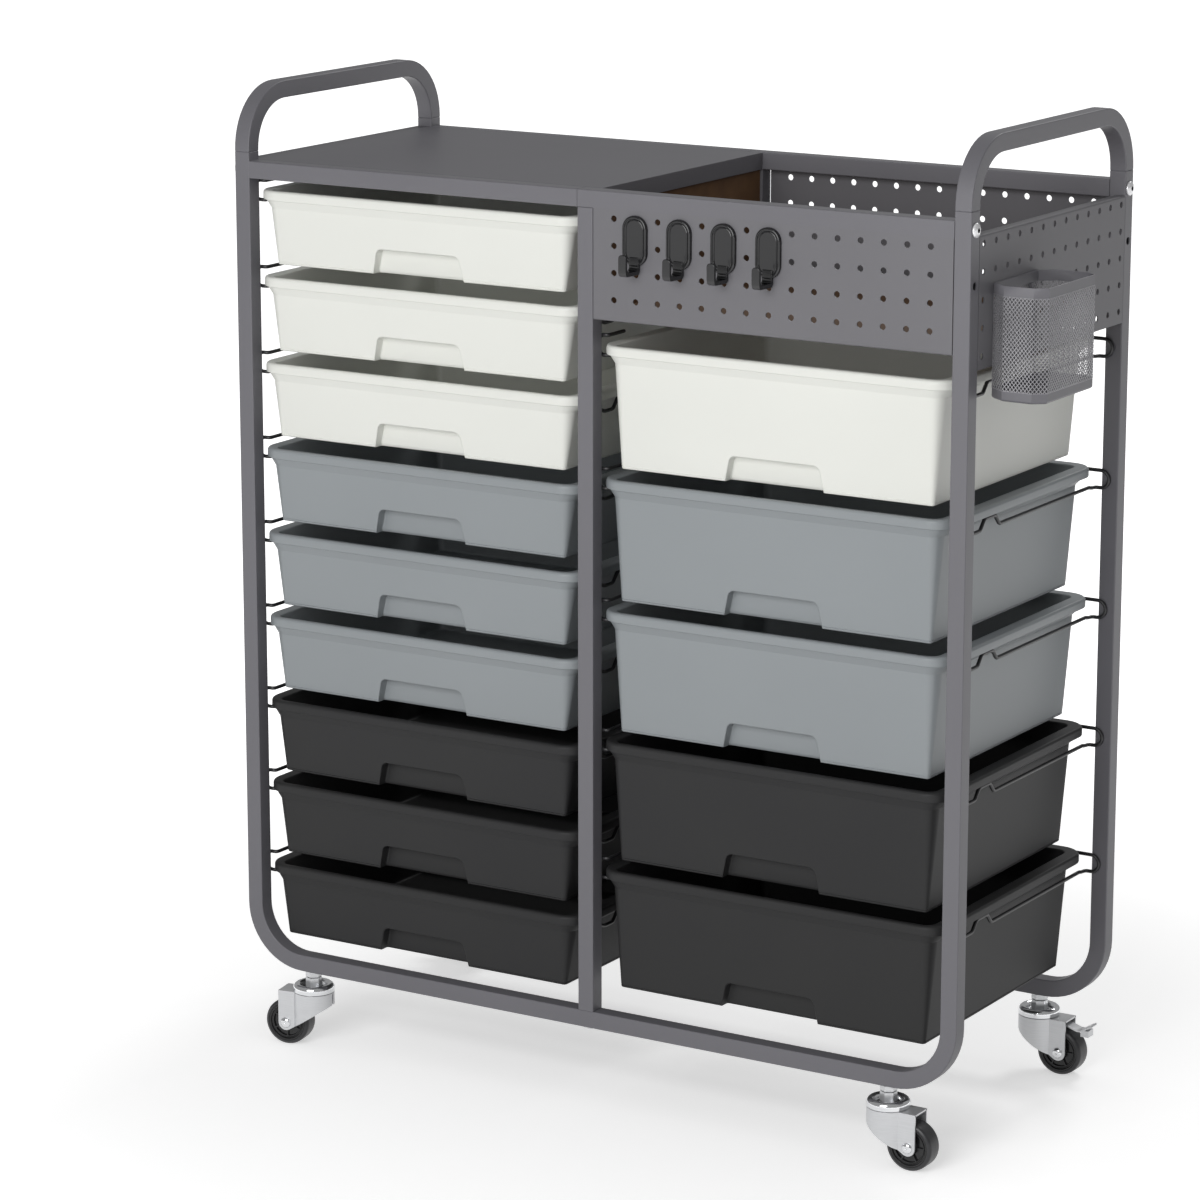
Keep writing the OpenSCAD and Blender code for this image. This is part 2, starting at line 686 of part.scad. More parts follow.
// Plan of the fork, set in by the sheet: a round cup and two parallel side plates
module fork_plan(t) {
    circle(r = fork_r - t, $fn = 64);
    translate([0, t - fork_w / 2]) square([lug_x + (t > 0 ? 1 : 0), fork_w - 2 * t]);
}

// Side view of the fork: sloping lower edge, round lug at the axle
module fork_side() {
    nose_z = fork_z - 13;
    to_nose = [-fork_r - 1, nose_z] - [trail, wheel_r];
    lean = atan2(to_nose.y, to_nose.x) + acos(lug_r / norm(to_nose));
    translate([0, fork_r + 1, 0]) rotate([90, 0, 0]) linear_extrude(2 * fork_r + 2) polygon(concat(
        [[lug_x, fork_z], [-fork_r - 1, fork_z], [-fork_r - 1, nose_z]],
        arc([trail, wheel_r], lug_r, lean, 360, 14)));
}

module fork(c) {
    color(zinc_grey) on_caster(c) difference() {
        intersection() {
            linear_extrude(fork_z) fork_plan(0);
            fork_side();
        }
        translate([0, 0, -1]) linear_extrude(fork_z - fork_t + 1) fork_plan(fork_t);
        translate([0, 0, fork_z - fork_t - 1]) cylinder(r = stem_r + run_gap, h = fork_t + 2);
        translate([trail, 0, wheel_r]) bore_y(axle_r, fork_w + 2);
    }
}

// Axle with a domed head at each end
module axle(c) {
    dome = axle_r * 0.75;
    head = axle_r + 2.8;
    color(chrome_grey) on_caster(c) translate([trail, 0, wheel_r]) rotate([90, 0, 0]) rotate_extrude()
        polygon([[0, -fork_w / 2 - dome], [head * 0.6, -fork_w / 2 - dome], [head, -fork_w / 2 - dome * 0.4],
            [head, -fork_w / 2], [axle_r, -fork_w / 2], [axle_r, fork_w / 2], [head, fork_w / 2],
            [head, fork_w / 2 + dome * 0.4], [head * 0.6, fork_w / 2 + dome], [0, fork_w / 2 + dome]]);
}

// Wheel hub with a recessed web and five ribs on each face
module hub(c) {
    web_r = hub_r - 3;
    boss_r = axle_r + 3.5;
    deep = 4;
    color("#1c1c1e") on_caster(c) translate([trail, 0, wheel_r]) rotate([90, 0, 0]) difference() {
        cylinder(r = hub_r, h = wheel_w, center = true, $fn = 64);
        cylinder(r = axle_r + run_gap, h = wheel_w + 2, center = true);
        for (s = [-1, 1]) difference() {
            translate([0, 0, s * wheel_w / 2]) cylinder(r = web_r, h = 2 * deep, center = true);
            cylinder(r = boss_r, h = wheel_w + 2, center = true);
            for (a = [0:72:359]) rotate([0, 0, a]) translate([0, -1, -wheel_w / 2])
                cube([web_r + 1, 2, wheel_w]);
        }
    }
}

module tyre(c) {
    edge = wheel_w / 2;
    color("#2b2b2d") on_caster(c) translate([trail, 0, wheel_r]) rotate([90, 0, 0]) rotate_extrude($fn = 96)
        polygon([[hub_r, -edge], [wheel_r - 1.8, -edge], [wheel_r - 0.5, 0.9 - edge], [wheel_r, 2.4 - edge],
            [wheel_r, edge - 2.4], [wheel_r - 0.5, edge - 0.9], [wheel_r - 1.8, edge], [hub_r, edge]]);
}

// Brake lever over the wheel, with its cross pin between the side plates and a pad under the pedal
module brake(c) {
    top = 2 * wheel_r;
    pivot_x = trail - 8;
    pin_l = fork_w - 2 * fork_t - 0.6;
    color(zinc_grey) on_caster(c) {
        translate([pivot_x, 0, top + 5.5]) bore_y(pivot_r, pin_l);
        translate([0, lever_w / 2, 0]) rotate([90, 0, 0]) linear_extrude(lever_w) polygon([
            [pivot_x - 3, top + 3.5], [trail + 8, top + 2.8], [trail + 19, top - 0.5], [trail + 24, top],
            [trail + 36, top + 7], [trail + 35, top + 7 + lever_t], [trail + 23.2, top + lever_t],
            [trail + 19, top + lever_t - 0.4], [trail + 8.6, top + 3 + lever_t], [pivot_x - 3, top + 5.5 + lever_t / 2]]);
        translate([trail + 23, -6, top - 5]) cube([9, 12, 7]);
    }
}

main_frame(-1);  // front_frame
main_frame(1);  // back_frame
handle(-1);  // left_handle
handle(1);  // right_handle
middle_post(-1);  // front_middle_post
middle_post(1);  // back_middle_post
top_rail(-1);  // front_top_rail
top_rail(1);  // back_top_rail
rail_plugs();
rail_screws();
post_screws();
top_board();
bin_panel(-1);  // front_panel
bin_panel(1);  // back_panel
side_panel();
bin_divider();
bin_floor();
left_runner_wires();
right_runner_wires();
pen_cup();
for (i = [1:4]) peg_hook(i);
for (i = [1:small_rows]) small_drawer(i);
for (i = [1:deep_rows]) deep_drawer(i);
caster_stems();
caster_jam_nuts();
caster_races();
for (c = [0:3]) {
    fork(c);
    axle(c);
    hub(c);
    tyre(c);
}
for (c = [2:3]) brake(c);
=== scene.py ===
from math import acos, atan2, cos, degrees, hypot, pi, radians, sin

import bmesh
import bpy
from mathutils import Matrix, Vector


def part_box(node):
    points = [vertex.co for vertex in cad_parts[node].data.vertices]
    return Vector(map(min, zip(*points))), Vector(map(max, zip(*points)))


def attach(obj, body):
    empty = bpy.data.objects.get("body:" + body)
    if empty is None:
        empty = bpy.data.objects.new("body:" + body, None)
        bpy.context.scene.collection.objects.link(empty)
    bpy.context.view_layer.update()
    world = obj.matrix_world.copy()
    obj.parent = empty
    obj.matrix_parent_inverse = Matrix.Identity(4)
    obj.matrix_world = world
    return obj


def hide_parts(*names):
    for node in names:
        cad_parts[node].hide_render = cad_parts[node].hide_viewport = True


# Rolling drawer cart, dressed around its solids. Pieces are modelled in millimetres from the middle of
# the cart, +X right, +Y back, +Z up, the floor on Z = 0, and then put into the row frame in metres.

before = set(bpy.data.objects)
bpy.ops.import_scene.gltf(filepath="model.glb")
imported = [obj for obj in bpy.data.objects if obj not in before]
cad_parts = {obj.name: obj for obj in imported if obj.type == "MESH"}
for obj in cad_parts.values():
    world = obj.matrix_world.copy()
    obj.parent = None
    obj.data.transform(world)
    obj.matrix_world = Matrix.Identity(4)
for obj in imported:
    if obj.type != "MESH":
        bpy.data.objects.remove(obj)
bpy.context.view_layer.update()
bpy.ops.object.select_all(action="DESELECT")

front_lo, front_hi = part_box("front_frame")
_, back_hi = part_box("back_frame")
MID = Vector(((front_lo.x + front_hi.x) / 2, (front_lo.y + back_hi.y) / 2, 0))


def cart(x, y, z):
    """A point of the cart in the row frame."""
    return MID + Vector((x, y, z)) / 1000


# Camera, light and stage

CAMERA_PLACE = (2287.1, -3867.2, 1547.2)
LENS, LOOK_DOWN, LOOK_ROUND = 132.869, 13.131, 31.603
GLOW_FROM, GLOW_TO = 0.5, 1.7


def set_camera():
    data = bpy.data.cameras.new("photo_camera")
    camera = bpy.data.objects.new("photo_camera", data)
    bpy.context.scene.collection.objects.link(camera)
    data.lens = LENS
    data.sensor_width = 36
    data.dof.use_dof = False
    camera.location = cart(*CAMERA_PLACE)
    camera.rotation_euler = (radians(90 - LOOK_DOWN), 0, radians(LOOK_ROUND))
    bpy.context.scene.camera = camera


def softbox(name, place, aim, width, height, power):
    data = bpy.data.lights.new(name, "AREA")
    data.shape = "RECTANGLE"
    data.size = width
    data.size_y = height
    data.energy = power
    lamp = bpy.data.objects.new(name, data)
    bpy.context.scene.collection.objects.link(lamp)
    lamp.location = place
    lamp.rotation_euler = (Vector(aim) - Vector(place)).to_track_quat("-Z", "Y").to_euler()


def studio_air(fill):
    """White behind the object for the camera, and a softer even light on the object."""
    world = bpy.data.worlds.new("studio_air")
    bpy.context.scene.world = world
    world.use_nodes = True
    tree = world.node_tree
    tree.nodes.clear()
    paths = tree.nodes.new("ShaderNodeLightPath")
    seen = tree.nodes.new("ShaderNodeMath")
    seen.operation = "MAXIMUM"
    air = tree.nodes.new("ShaderNodeBackground")
    air.inputs["Color"].default_value = (1, 1, 1, 1)
    air.inputs["Strength"].default_value = fill
    white = tree.nodes.new("ShaderNodeBackground")
    white.inputs["Color"].default_value = (1, 1, 1, 1)
    white.inputs["Strength"].default_value = 1
    mix = tree.nodes.new("ShaderNodeMixShader")
    out = tree.nodes.new("ShaderNodeOutputWorld")
    tree.links.new(paths.outputs["Is Camera Ray"], seen.inputs[0])
    tree.links.new(paths.outputs["Is Transmission Ray"], seen.inputs[1])
    tree.links.new(seen.outputs[0], mix.inputs[0])
    tree.links.new(air.outputs[0], mix.inputs[1])
    tree.links.new(white.outputs[0], mix.inputs[2])
    tree.links.new(mix.outputs[0], out.inputs["Surface"])


def pale_floor(near, far):
    """Pale floor that keeps the object's shadow: a matt sheet whose glow for the camera grows outward."""
    bpy.ops.mesh.primitive_plane_add(size=40, location=(0, 0, 0))
    floor = bpy.context.object
    floor.name = "floor"
    paint = bpy.data.materials.new("studio_floor")
    paint.use_nodes = True
    tree = paint.node_tree
    tree.nodes.clear()
    paths = tree.nodes.new("ShaderNodeLightPath")
    seen = tree.nodes.new("ShaderNodeMath")
    seen.operation = "MAXIMUM"
    matt = tree.nodes.new("ShaderNodeBsdfDiffuse")
    matt.inputs["Color"].default_value = (0.8, 0.8, 0.8, 1)
    glow = tree.nodes.new("ShaderNodeEmission")
    glow.inputs["Color"].default_value = (1, 1, 1, 1)
    place = tree.nodes.new("ShaderNodeTexCoord")
    reach = tree.nodes.new("ShaderNodeVectorMath")
    reach.operation = "LENGTH"
    grow = tree.nodes.new("ShaderNodeMapRange")
    grow.interpolation_type = "SMOOTHSTEP"
    grow.inputs["From Min"].default_value = GLOW_FROM
    grow.inputs["From Max"].default_value = GLOW_TO
    grow.inputs["To Min"].default_value = near
    grow.inputs["To Max"].default_value = far
    level = tree.nodes.new("ShaderNodeMath")
    level.operation = "MULTIPLY"
    both = tree.nodes.new("ShaderNodeAddShader")
    out = tree.nodes.new("ShaderNodeOutputMaterial")
    tree.links.new(paths.outputs["Is Camera Ray"], seen.inputs[0])
    tree.links.new(paths.outputs["Is Glossy Ray"], seen.inputs[1])
    tree.links.new(place.outputs["Object"], reach.inputs[0])
    tree.links.new(reach.outputs["Value"], grow.inputs["Value"])
    tree.links.new(grow.outputs["Result"], level.inputs[1])
    tree.links.new(seen.outputs[0], level.inputs[0])
    tree.links.new(level.outputs[0], glow.inputs["Strength"])
    tree.links.new(matt.outputs[0], both.inputs[0])
    tree.links.new(glow.outputs[0], both.inputs[1])
    tree.links.new(both.outputs[0], out.inputs["Surface"])
    floor.data.materials.append(paint)


bpy.context.scene.view_settings.view_transform = "Standard"
set_camera()
softbox("key_softbox", (0.3, -3.0, 1.6), (0.1, 0, 0.45), 1.8, 1.8, 57)
softbox("back_softbox", (0.3, 3.2, 3.6), (0, 0, 0.3), 1.4, 1.4, 50)
studio_air(0.33)
pale_floor(0.5, 1.0)


# Finishes

def effect(name, ins, outs):
    """A new shader node group with the given named inputs and outputs."""
    group = bpy.data.node_groups.new(name, "ShaderNodeTree")
    for label, kind, value in ins:
        socket = group.interface.new_socket(name=label, in_out="INPUT", socket_type=kind)
        if value is not None:
            socket.default_value = value
    for label, kind in outs:
        group.interface.new_socket(name=label, in_out="OUTPUT", socket_type=kind)
    return group, group.nodes.new("NodeGroupInput"), group.nodes.new("NodeGroupOutput")


def node(tree, kind, **settings):
    made = tree.nodes.new("ShaderNode" + kind)
    for key, value in settings.items():
        if key[0].isupper():
            made.inputs[key.replace("_", " ")].default_value = value
        else:
            setattr(made, key, value)
    return made


def speckle_effect():
    """Fine grain of a sprayed or moulded surface over a broad, faint unevenness."""
    ins = [("Place", "NodeSocketVector", None), ("Grain", "NodeSocketFloat", 900),
           ("Patch", "NodeSocketFloat", 6)]
    outs = [("Height", "NodeSocketFloat"), ("Uneven", "NodeSocketFloat")]
    group, given, made = effect("speckle", ins, outs)
    fine = node(group, "TexNoise", Detail=3.0, Roughness=0.6)
    broad = node(group, "TexNoise", Detail=2.0)
    link = group.links.new
    link(given.outputs["Place"], fine.inputs["Vector"])
    link(given.outputs["Grain"], fine.inputs["Scale"])
    link(given.outputs["Place"], broad.inputs["Vector"])
    link(given.outputs["Patch"], broad.inputs["Scale"])
    link(fine.outputs["Fac"], made.inputs["Height"])
    link(broad.outputs["Fac"], made.inputs["Uneven"])
    return group


def brushed_effect():
    """Fine scratches drawn along one direction."""
    ins = [("Place", "NodeSocketVector", None), ("Across", "NodeSocketFloat", 1800),
           ("Along", "NodeSocketFloat", 60)]
    outs = [("Height", "NodeSocketFloat"), ("Streak", "NodeSocketFloat")]
    group, given, made = effect("brushed", ins, outs)
    apart = node(group, "SeparateXYZ")
    together = node(group, "CombineXYZ")
    lines = node(group, "TexNoise", Scale=1.0, Detail=4.0)
    link = group.links.new
    link(given.outputs["Place"], apart.inputs[0])
    for axis, rate in (("X", "Along"), ("Y", "Along"), ("Z", "Across")):
        times = node(group, "Math", operation="MULTIPLY")
        link(apart.outputs[axis], times.inputs[0])
        link(given.outputs[rate], times.inputs[1])
        link(times.outputs[0], together.inputs[axis])
    link(together.outputs[0], lines.inputs["Vector"])
    link(lines.outputs["Fac"], made.inputs["Height"])
    link(lines.outputs["Fac"], made.inputs["Streak"])
    return group


speckle, brushed = speckle_effect(), brushed_effect()


def linear(colour):
    """A screen colour, each part from 11 to 255, as a scene colour."""
    return tuple(((c / 255 + 0.055) / 1.055) ** 2.4 for c in colour) + (1,)


def tones(tree, source, low, high):
    ramp = tree.nodes.new("ShaderNodeValToRGB")
    first, last = ramp.color_ramp.elements
    first.position, last.position = 0.3, 0.7
    first.color, last.color = low, high
    tree.links.new(source, ramp.inputs[0])
    return ramp.outputs["Color"]


def span(tree, source, low, high):
    scale = node(tree, "MapRange")
    scale.inputs["To Min"].default_value = low
    scale.inputs["To Max"].default_value = high
    tree.links.new(source, scale.inputs["Value"])
    return scale.outputs["Result"]


def finish_of(name, dark, light, rough, grain, patch, bump, depth=0.0001, group=None, **sockets):
    """A finish whose colour and gloss drift a little over the surface, with a fine grain in relief."""
    paint = bpy.data.materials.new(name)
    paint.use_nodes = True
    tree = paint.node_tree
    shader = tree.nodes["Principled BSDF"]
    place = tree.nodes.new("ShaderNodeTexCoord")
    grainy = tree.nodes.new("ShaderNodeGroup")
    grainy.node_tree = group or speckle
    grainy.inputs[1].default_value = grain
    grainy.inputs[2].default_value = patch
    tree.links.new(place.outputs["Object"], grainy.inputs["Place"])
    tree.links.new(tones(tree, grainy.outputs[1], linear(dark), linear(light)), shader.inputs["Base Color"])
    tree.links.new(span(tree, grainy.outputs[1], rough - 0.04, rough + 0.04), shader.inputs["Roughness"])
    relief = tree.nodes.new("ShaderNodeBump")
    relief.inputs["Strength"].default_value = bump
    relief.inputs["Distance"].default_value = depth
    tree.links.new(grainy.outputs["Height"], relief.inputs["Height"])
    tree.links.new(relief.outputs["Normal"], shader.inputs["Normal"])
    for key, value in sockets.items():
        shader.inputs[key.replace("_", " ")].default_value = value
    return paint


frame_paint = finish_of("frame_paint", (106, 105, 110), (110, 109, 114), 0.45, 1400, 5, 0.25)
panel_paint = finish_of("panel_paint", (106, 105, 109), (110, 109, 113), 0.5, 1400, 5, 0.25)
white_plastic = finish_of("white_plastic", (229, 230, 224), (233, 234, 228), 0.42, 700, 4, 0.12)
grey_plastic = finish_of("grey_plastic", (140, 145, 148), (144, 149, 152), 0.42, 700, 4, 0.12)
black_plastic = finish_of("black_plastic", (44, 44, 45), (48, 48, 48), 0.5, 700, 4, 0.15,
                          Specular_IOR_Level=0.22)
board_paint = finish_of("board_laminate", (99, 98, 103), (103, 102, 107), 0.45, 500, 8, 0.1)
hardboard = finish_of("hardboard", (92, 64, 38), (108, 78, 48), 0.7, 260, 40, 0.3, 0.0002)
wire_paint = finish_of("wire_paint", (30, 30, 32), (36, 36, 38), 0.35, 1400, 12, 0.2)
hook_paint = finish_of("hook_paint", (24, 24, 26), (28, 28, 30), 0.12, 900, 12, 0.05)
cup_paint = finish_of("cup_paint", (136, 135, 139), (162, 161, 165), 0.3, 1400, 12, 0.2, Metallic=0.3)
screw_metal = finish_of("screw_metal", (236, 236, 238), (244, 244, 246), 0.22, 1800, 60, 0.05,
                        group=brushed, Metallic=0.35)
# Dark plastic of the rail plugs, also laid inside the screws' hexagon sockets as painted shade
plug_plastic_and_socket_shade = finish_of("plug_plastic_and_socket_shade", (34, 34, 36), (38, 38, 40), 0.5, 900, 10, 0.1)
zinc = finish_of("zinc", (208, 209, 211), (216, 217, 219), 0.3, 1500, 60, 0.05, group=brushed, Metallic=0.6)
polished = finish_of("bright_plate", (222, 223, 225), (232, 233, 235), 0.12, 1500, 60, 0.03, 0.00005,
                     group=brushed, Metallic=1.0)
hub_plastic = finish_of("hub_plastic", (24, 24, 25), (29, 29, 30), 0.22, 900, 10, 0.05)
tyre_rubber = finish_of("tyre_rubber", (42, 42, 44), (50, 50, 52), 0.36, 900, 14, 0.2)


# Modelling, in millimetres

UPRIGHT, ALONG_X, ALONG_Y = (0, 0, 0), (0, pi / 2, 0), (pi / 2, 0, 0)
TO_ROW = Matrix.Translation(MID) @ Matrix.Scale(0.001, 4)


def pick(*pieces):
    """Selects these pieces alone, the last of them active."""
    bpy.ops.object.select_all(action="DESELECT")
    for piece in pieces:
        piece.select_set(True)
    bpy.context.view_layer.objects.active = pieces[-1]


def begin(name):
    """A new piece, open in edit mode."""
    piece = bpy.data.objects.new(name, bpy.data.meshes.new(name))
    bpy.context.scene.collection.objects.link(piece)
    return reopen(piece)


def reopen(piece):
    pick(piece)
    bpy.ops.object.mode_set(mode="EDIT")
    return piece


def shut():
    bpy.ops.object.mode_set(mode="OBJECT")


def choose(kind, test):
    """Selects the VERT, EDGE or FACE items of the open piece that pass the test."""
    bpy.ops.mesh.select_mode(type=kind)
    bpy.ops.mesh.select_all(action="DESELECT")
    mesh = bpy.context.object.data
    shape = bmesh.from_edit_mesh(mesh)
    for item in {"VERT": shape.verts, "EDGE": shape.edges, "FACE": shape.faces}[kind]:
        if test(item):
            item.select_set(True)
    shape.select_flush_mode()
    bmesh.update_edit_mesh(mesh, loop_triangles=False, destructive=False)


def everything():
    bpy.ops.mesh.select_all(action="SELECT")


def push(x=0, y=0, z=0):
    """Extrudes what is selected."""
    bpy.ops.mesh.extrude_region_move(TRANSFORM_OT_translate={"value": (x, y, z)})


def move(x=0, y=0, z=0):
    bpy.ops.transform.translate(value=(x, y, z))


def stretch(x, y, z, about):
    bpy.ops.transform.resize(value=(x, y, z), center_override=about)


def turn(angle, axis, about):
    bpy.ops.transform.rotate(value=-radians(angle), orient_axis=axis, center_override=about)


def round_corners(r, n):
    bpy.ops.mesh.bevel(affect="VERTICES", offset=r, segments=n, profile=0.5)


def round_edges(r, n=2):
    bpy.ops.mesh.bevel(affect="EDGES", offset=r, segments=n, profile=0.5, clamp_overlap=True)


def weld(gap=0.01):
    everything()
    bpy.ops.mesh.remove_doubles(threshold=gap)
    bpy.ops.mesh.normals_make_consistent(inside=False)


def trace(points):
    """Draws a line through the points in the open piece, by extruding its first point."""
    bpy.ops.mesh.select_mode(type="VERT")
    bpy.ops.mesh.primitive_plane_add(size=0.1, location=points[0])
    bpy.ops.mesh.merge(type="CENTER")
    for a, b in zip(points, points[1:]):
        bpy.ops.mesh.extrude_vertices_move(TRANSFORM_OT_translate={"value": Vector(b) - Vector(a)})


def block(points, way):
    """A closed outline drawn out along way into a solid, in the open piece."""
    trace(points + points[:1])
    everything()
    bpy.ops.mesh.remove_doubles(threshold=0.005)
    bpy.ops.mesh.edge_face_add()
    push(*way)
    weld(0.001)


def rod(r, length, place, turned=UPRIGHT, sides=24):
    """A round rod about the point place, in the open piece."""
    bpy.ops.mesh.primitive_cylinder_add(vertices=sides, radius=r, depth=length, rotation=turned,
                                        location=place)


def arc(x, z, rx, rz, angles):
    """Points on an ellipse about x, z with the radii rx and rz, one for each angle in degrees."""
    return [(x + rx * cos(radians(a)), z + rz * sin(radians(a))) for a in angles]


def sweep(start, angle, steps):
    """Evenly spaced angles from start through the given angle."""
    return [start + angle * i / steps for i in range(steps + 1)]


def apply_modifier(piece, kind, **settings):
    pick(piece)
    modifier = piece.modifiers.new(kind.lower(), kind)
    for key, value in settings.items():
        setattr(modifier, key, value)
    bpy.ops.object.modifier_apply(modifier=modifier.name)


def cut(piece, cutter, how="DIFFERENCE"):
    apply_modifier(piece, "BOOLEAN", object=cutter, operation=how, solver="EXACT")
    bpy.data.objects.remove(cutter)


def join(piece, *others):
    """Takes the other pieces into this one, as loose parts of its mesh."""
    pick(*others, piece)
    bpy.ops.object.join()


def smooth(piece, angle=35):
    pick(piece)
    bpy.ops.object.shade_smooth_by_angle(angle=radians(angle))
    apply_modifier(piece, "WEIGHTED_NORMAL", keep_sharp=True)


def hand_over(piece, material, body, slot, *stands_for):
    """Puts a piece that is modelled in its place on the cart into the row frame and gives it its finish."""
    piece.data.transform(TO_ROW)
    piece.data.materials.clear()
    piece.data.materials.append(material)
    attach(piece, body)
    if stands_for:
        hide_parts(*stands_for)
    return piece


def paint_node(name, paint):
    """Gives a solid that stays visible its finish."""
    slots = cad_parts[name].data.materials
    slots.clear()
    slots.append(paint)


def another(piece, name, place):
    """A copy with its own mesh, moved by the matrix place."""
    copy = bpy.data.objects.new(name, piece.data.copy())
    copy.data.name = name
    copy.data.transform(place)
    bpy.context.scene.collection.objects.link(copy)
    return copy


# Frame of square tube

HALF_W = (front_hi.x - front_lo.x) * 500
HALF_D = (back_hi.y - front_lo.y) * 500
TUBE = (front_hi.y - front_lo.y) * 1000
RAIL_Z = front_lo.z * 1000
TOP_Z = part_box("front_top_rail")[1].z * 1000
HANDLE_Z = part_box("left_handle")[1].z * 1000
FOOT_R, HANDLE_R = 68, 66
POST_TOP = HANDLE_Z - HANDLE_R - 2
STEM_X, STEM_Y = HALF_W - 78, HALF_D - TUBE / 2
POST_X = HALF_W - TUBE / 2
WALL, CORNER_R, END_R = 1.5, 1.2, 0.5
STEM_R, SCREW_HOLE_R, SPARE_HOLE_R, SPARE_HOLE_DROP = 5, 3.05, 4, 62
SPIGOT, SPIGOT_L, GROOVE = TUBE - 3.2, 12, 0.6


def tube_end(place, turned=UPRIGHT):
    """The ring-shaped end of a square tube with rounded corners, selected and ready to be extruded."""
    bpy.ops.mesh.select_mode(type="FACE")
    bpy.ops.mesh.primitive_plane_add(size=TUBE, location=place, rotation=turned)
    round_corners(CORNER_R, 3)
    bpy.ops.mesh.inset(thickness=WALL)
    bpy.ops.mesh.delete(type="ONLY_FACE")
    everything()


def bend(angle, centre, axis, steps=14):
    bpy.ops.mesh.spin(steps=steps, angle=radians(angle), center=centre, axis=axis)


def at_sawn_end(edge):
    """True for an edge at the joint of posts and handles, on the outer outline of its tube."""
    return all(abs(v.co.z - POST_TOP) < 0.01 and TUBE / 2 - 1 < max(abs(abs(v.co.x) - POST_X),
                                                                     abs(abs(v.co.y) - STEM_Y))
               for v in edge.verts)


def ease_ends():
    """Takes the sharpness off the sawn ends of the tubes."""
    choose("EDGE", at_sawn_end)
    round_edges(END_R, 1)


def bent_frame(side):
    """Bottom rail, two bends and two corner posts in one tube; side is -1 at the front, 1 at the back."""
    x, y = HALF_W - FOOT_R, side * STEM_Y
    bend_z = RAIL_Z + FOOT_R
    piece = begin("front_bent_tube" if side < 0 else "back_bent_tube")
    tube_end((-POST_X, y, POST_TOP))
    push(z=bend_z - POST_TOP)
    bend(90, (-x, y, bend_z), (0, 1, 0))
    push(x=2 * x)
    bend(90, (x, y, bend_z), (0, 1, 0))
    push(z=POST_TOP - bend_z)
    weld()
    ease_ends()
    shut()
    holes = begin("drills")
    for s in (-1, 1):
        rod(SPARE_HOLE_R, 6, (s * HALF_W, y, TOP_Z - SPARE_HOLE_DROP), ALONG_X, 32)
        rod(SCREW_HOLE_R, TUBE + 4, (s * POST_X, y, TOP_Z - TUBE / 2), ALONG_X)
        rod(STEM_R, 5, (s * STEM_X, y, RAIL_Z))
    rod(SCREW_HOLE_R, TUBE + 4, (0, y, RAIL_Z + TUBE / 2))
    shut()
    cut(piece, holes)
    smooth(piece)
    hand_over(piece, frame_paint, "frame", "frame_paint", "front_frame" if side < 0 else "back_frame")


def bent_handle(side):
    """Handle over one end of the cart, its reduced ends standing inside the posts."""
    x, y = side * POST_X, HALF_D - HANDLE_R
    bend_z = HANDLE_Z - HANDLE_R
    piece = begin("left_push_handle" if side < 0 else "right_push_handle")
    tube_end((x, -STEM_Y, POST_TOP))
    push(z=bend_z - POST_TOP)
    bend(90, (x, -y, bend_z), (1, 0, 0))
    push(y=2 * y)
    bend(90, (x, y, bend_z), (1, 0, 0))
    push(z=POST_TOP - bend_z)
    weld()
    ease_ends()
    for s in (-1, 1):
        bpy.ops.mesh.primitive_plane_add(size=SPIGOT, location=(x, s * STEM_Y, POST_TOP))
        round_corners(1, 2)
        push(z=-SPIGOT_L)
    weld()
    shut()
    smooth(piece)
    hand_over(piece, frame_paint, "frame", "frame_paint", "left_handle" if side < 0 else "right_handle")


def straight_tube(name, place, turned, way, node, joint=None):
    """Straight tube with both ends open, and a fine groove round it at the place of a joint."""
    piece = begin(name)
    tube_end(place, turned)
    push(*way)
    weld()
    shut()
    if joint:
        groove = begin("joint_groove")
        bpy.ops.mesh.select_mode(type="FACE")
        bpy.ops.mesh.primitive_plane_add(size=TUBE + 1, location=joint, rotation=turned)
        bpy.ops.mesh.inset(thickness=GROOVE + 0.5)
        bpy.ops.mesh.delete(type="ONLY_FACE")
        everything()
        push(x=GROOVE)
        weld(0.001)
        shut()
        cut(piece, groove)
    smooth(piece)
    hand_over(piece, frame_paint, "frame", "frame_paint", node)


for side, end in ((-1, "front"), (1, "back")):
    bent_frame(side)
    bent_handle(side)
    y, z = side * STEM_Y, TOP_Z - TUBE / 2
    straight_tube(end + "_middle_upright", (0, y, RAIL_Z + TUBE), UPRIGHT,
                  (0, 0, TOP_Z - RAIL_Z - 2 * TUBE), end + "_middle_post")
    straight_tube(end + "_upper_rail", (TUBE - HALF_W, y, z), ALONG_X, (2 * (HALF_W - TUBE), 0, 0),
                  end + "_top_rail", (-TUBE / 2 - GROOVE / 2, y, z))


# Drawers

small_low, small_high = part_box("small_drawer_1")
deep_low, deep_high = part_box("deep_drawer_1")
RIM_W = (small_high.x - small_low.x) * 1000
RIM_FRONT, RIM_BACK = (small_low.y - MID.y) * 1000, (small_high.y - MID.y) * 1000
RIM_R, LIP_H, LEDGE_H, SKIN = 26, 10, 8, 2.5
LIP_R, OPENING_R, INNER_FOOT_R = 3.2, 1.6, 3
NOTCH_D, NOTCH_LIFT, NOTCH_H, NOTCH_FOOT = 10.5, 3.5, 26, -3
NOTCH_HALF, NOTCH_TOP_HALF, NOTCH_R = 56, 49.5, 5.6
# At the sides, the front and the back: how far the foot of the walls stands in from the lip, how far they
# lean out up to the ledge, and how far the opening stands in
FOOT_IN, LEAN_OUT = (22, 10, 20), (9, 5, 7)
OPENING_IN = (15.5, 7.5, 15.5)


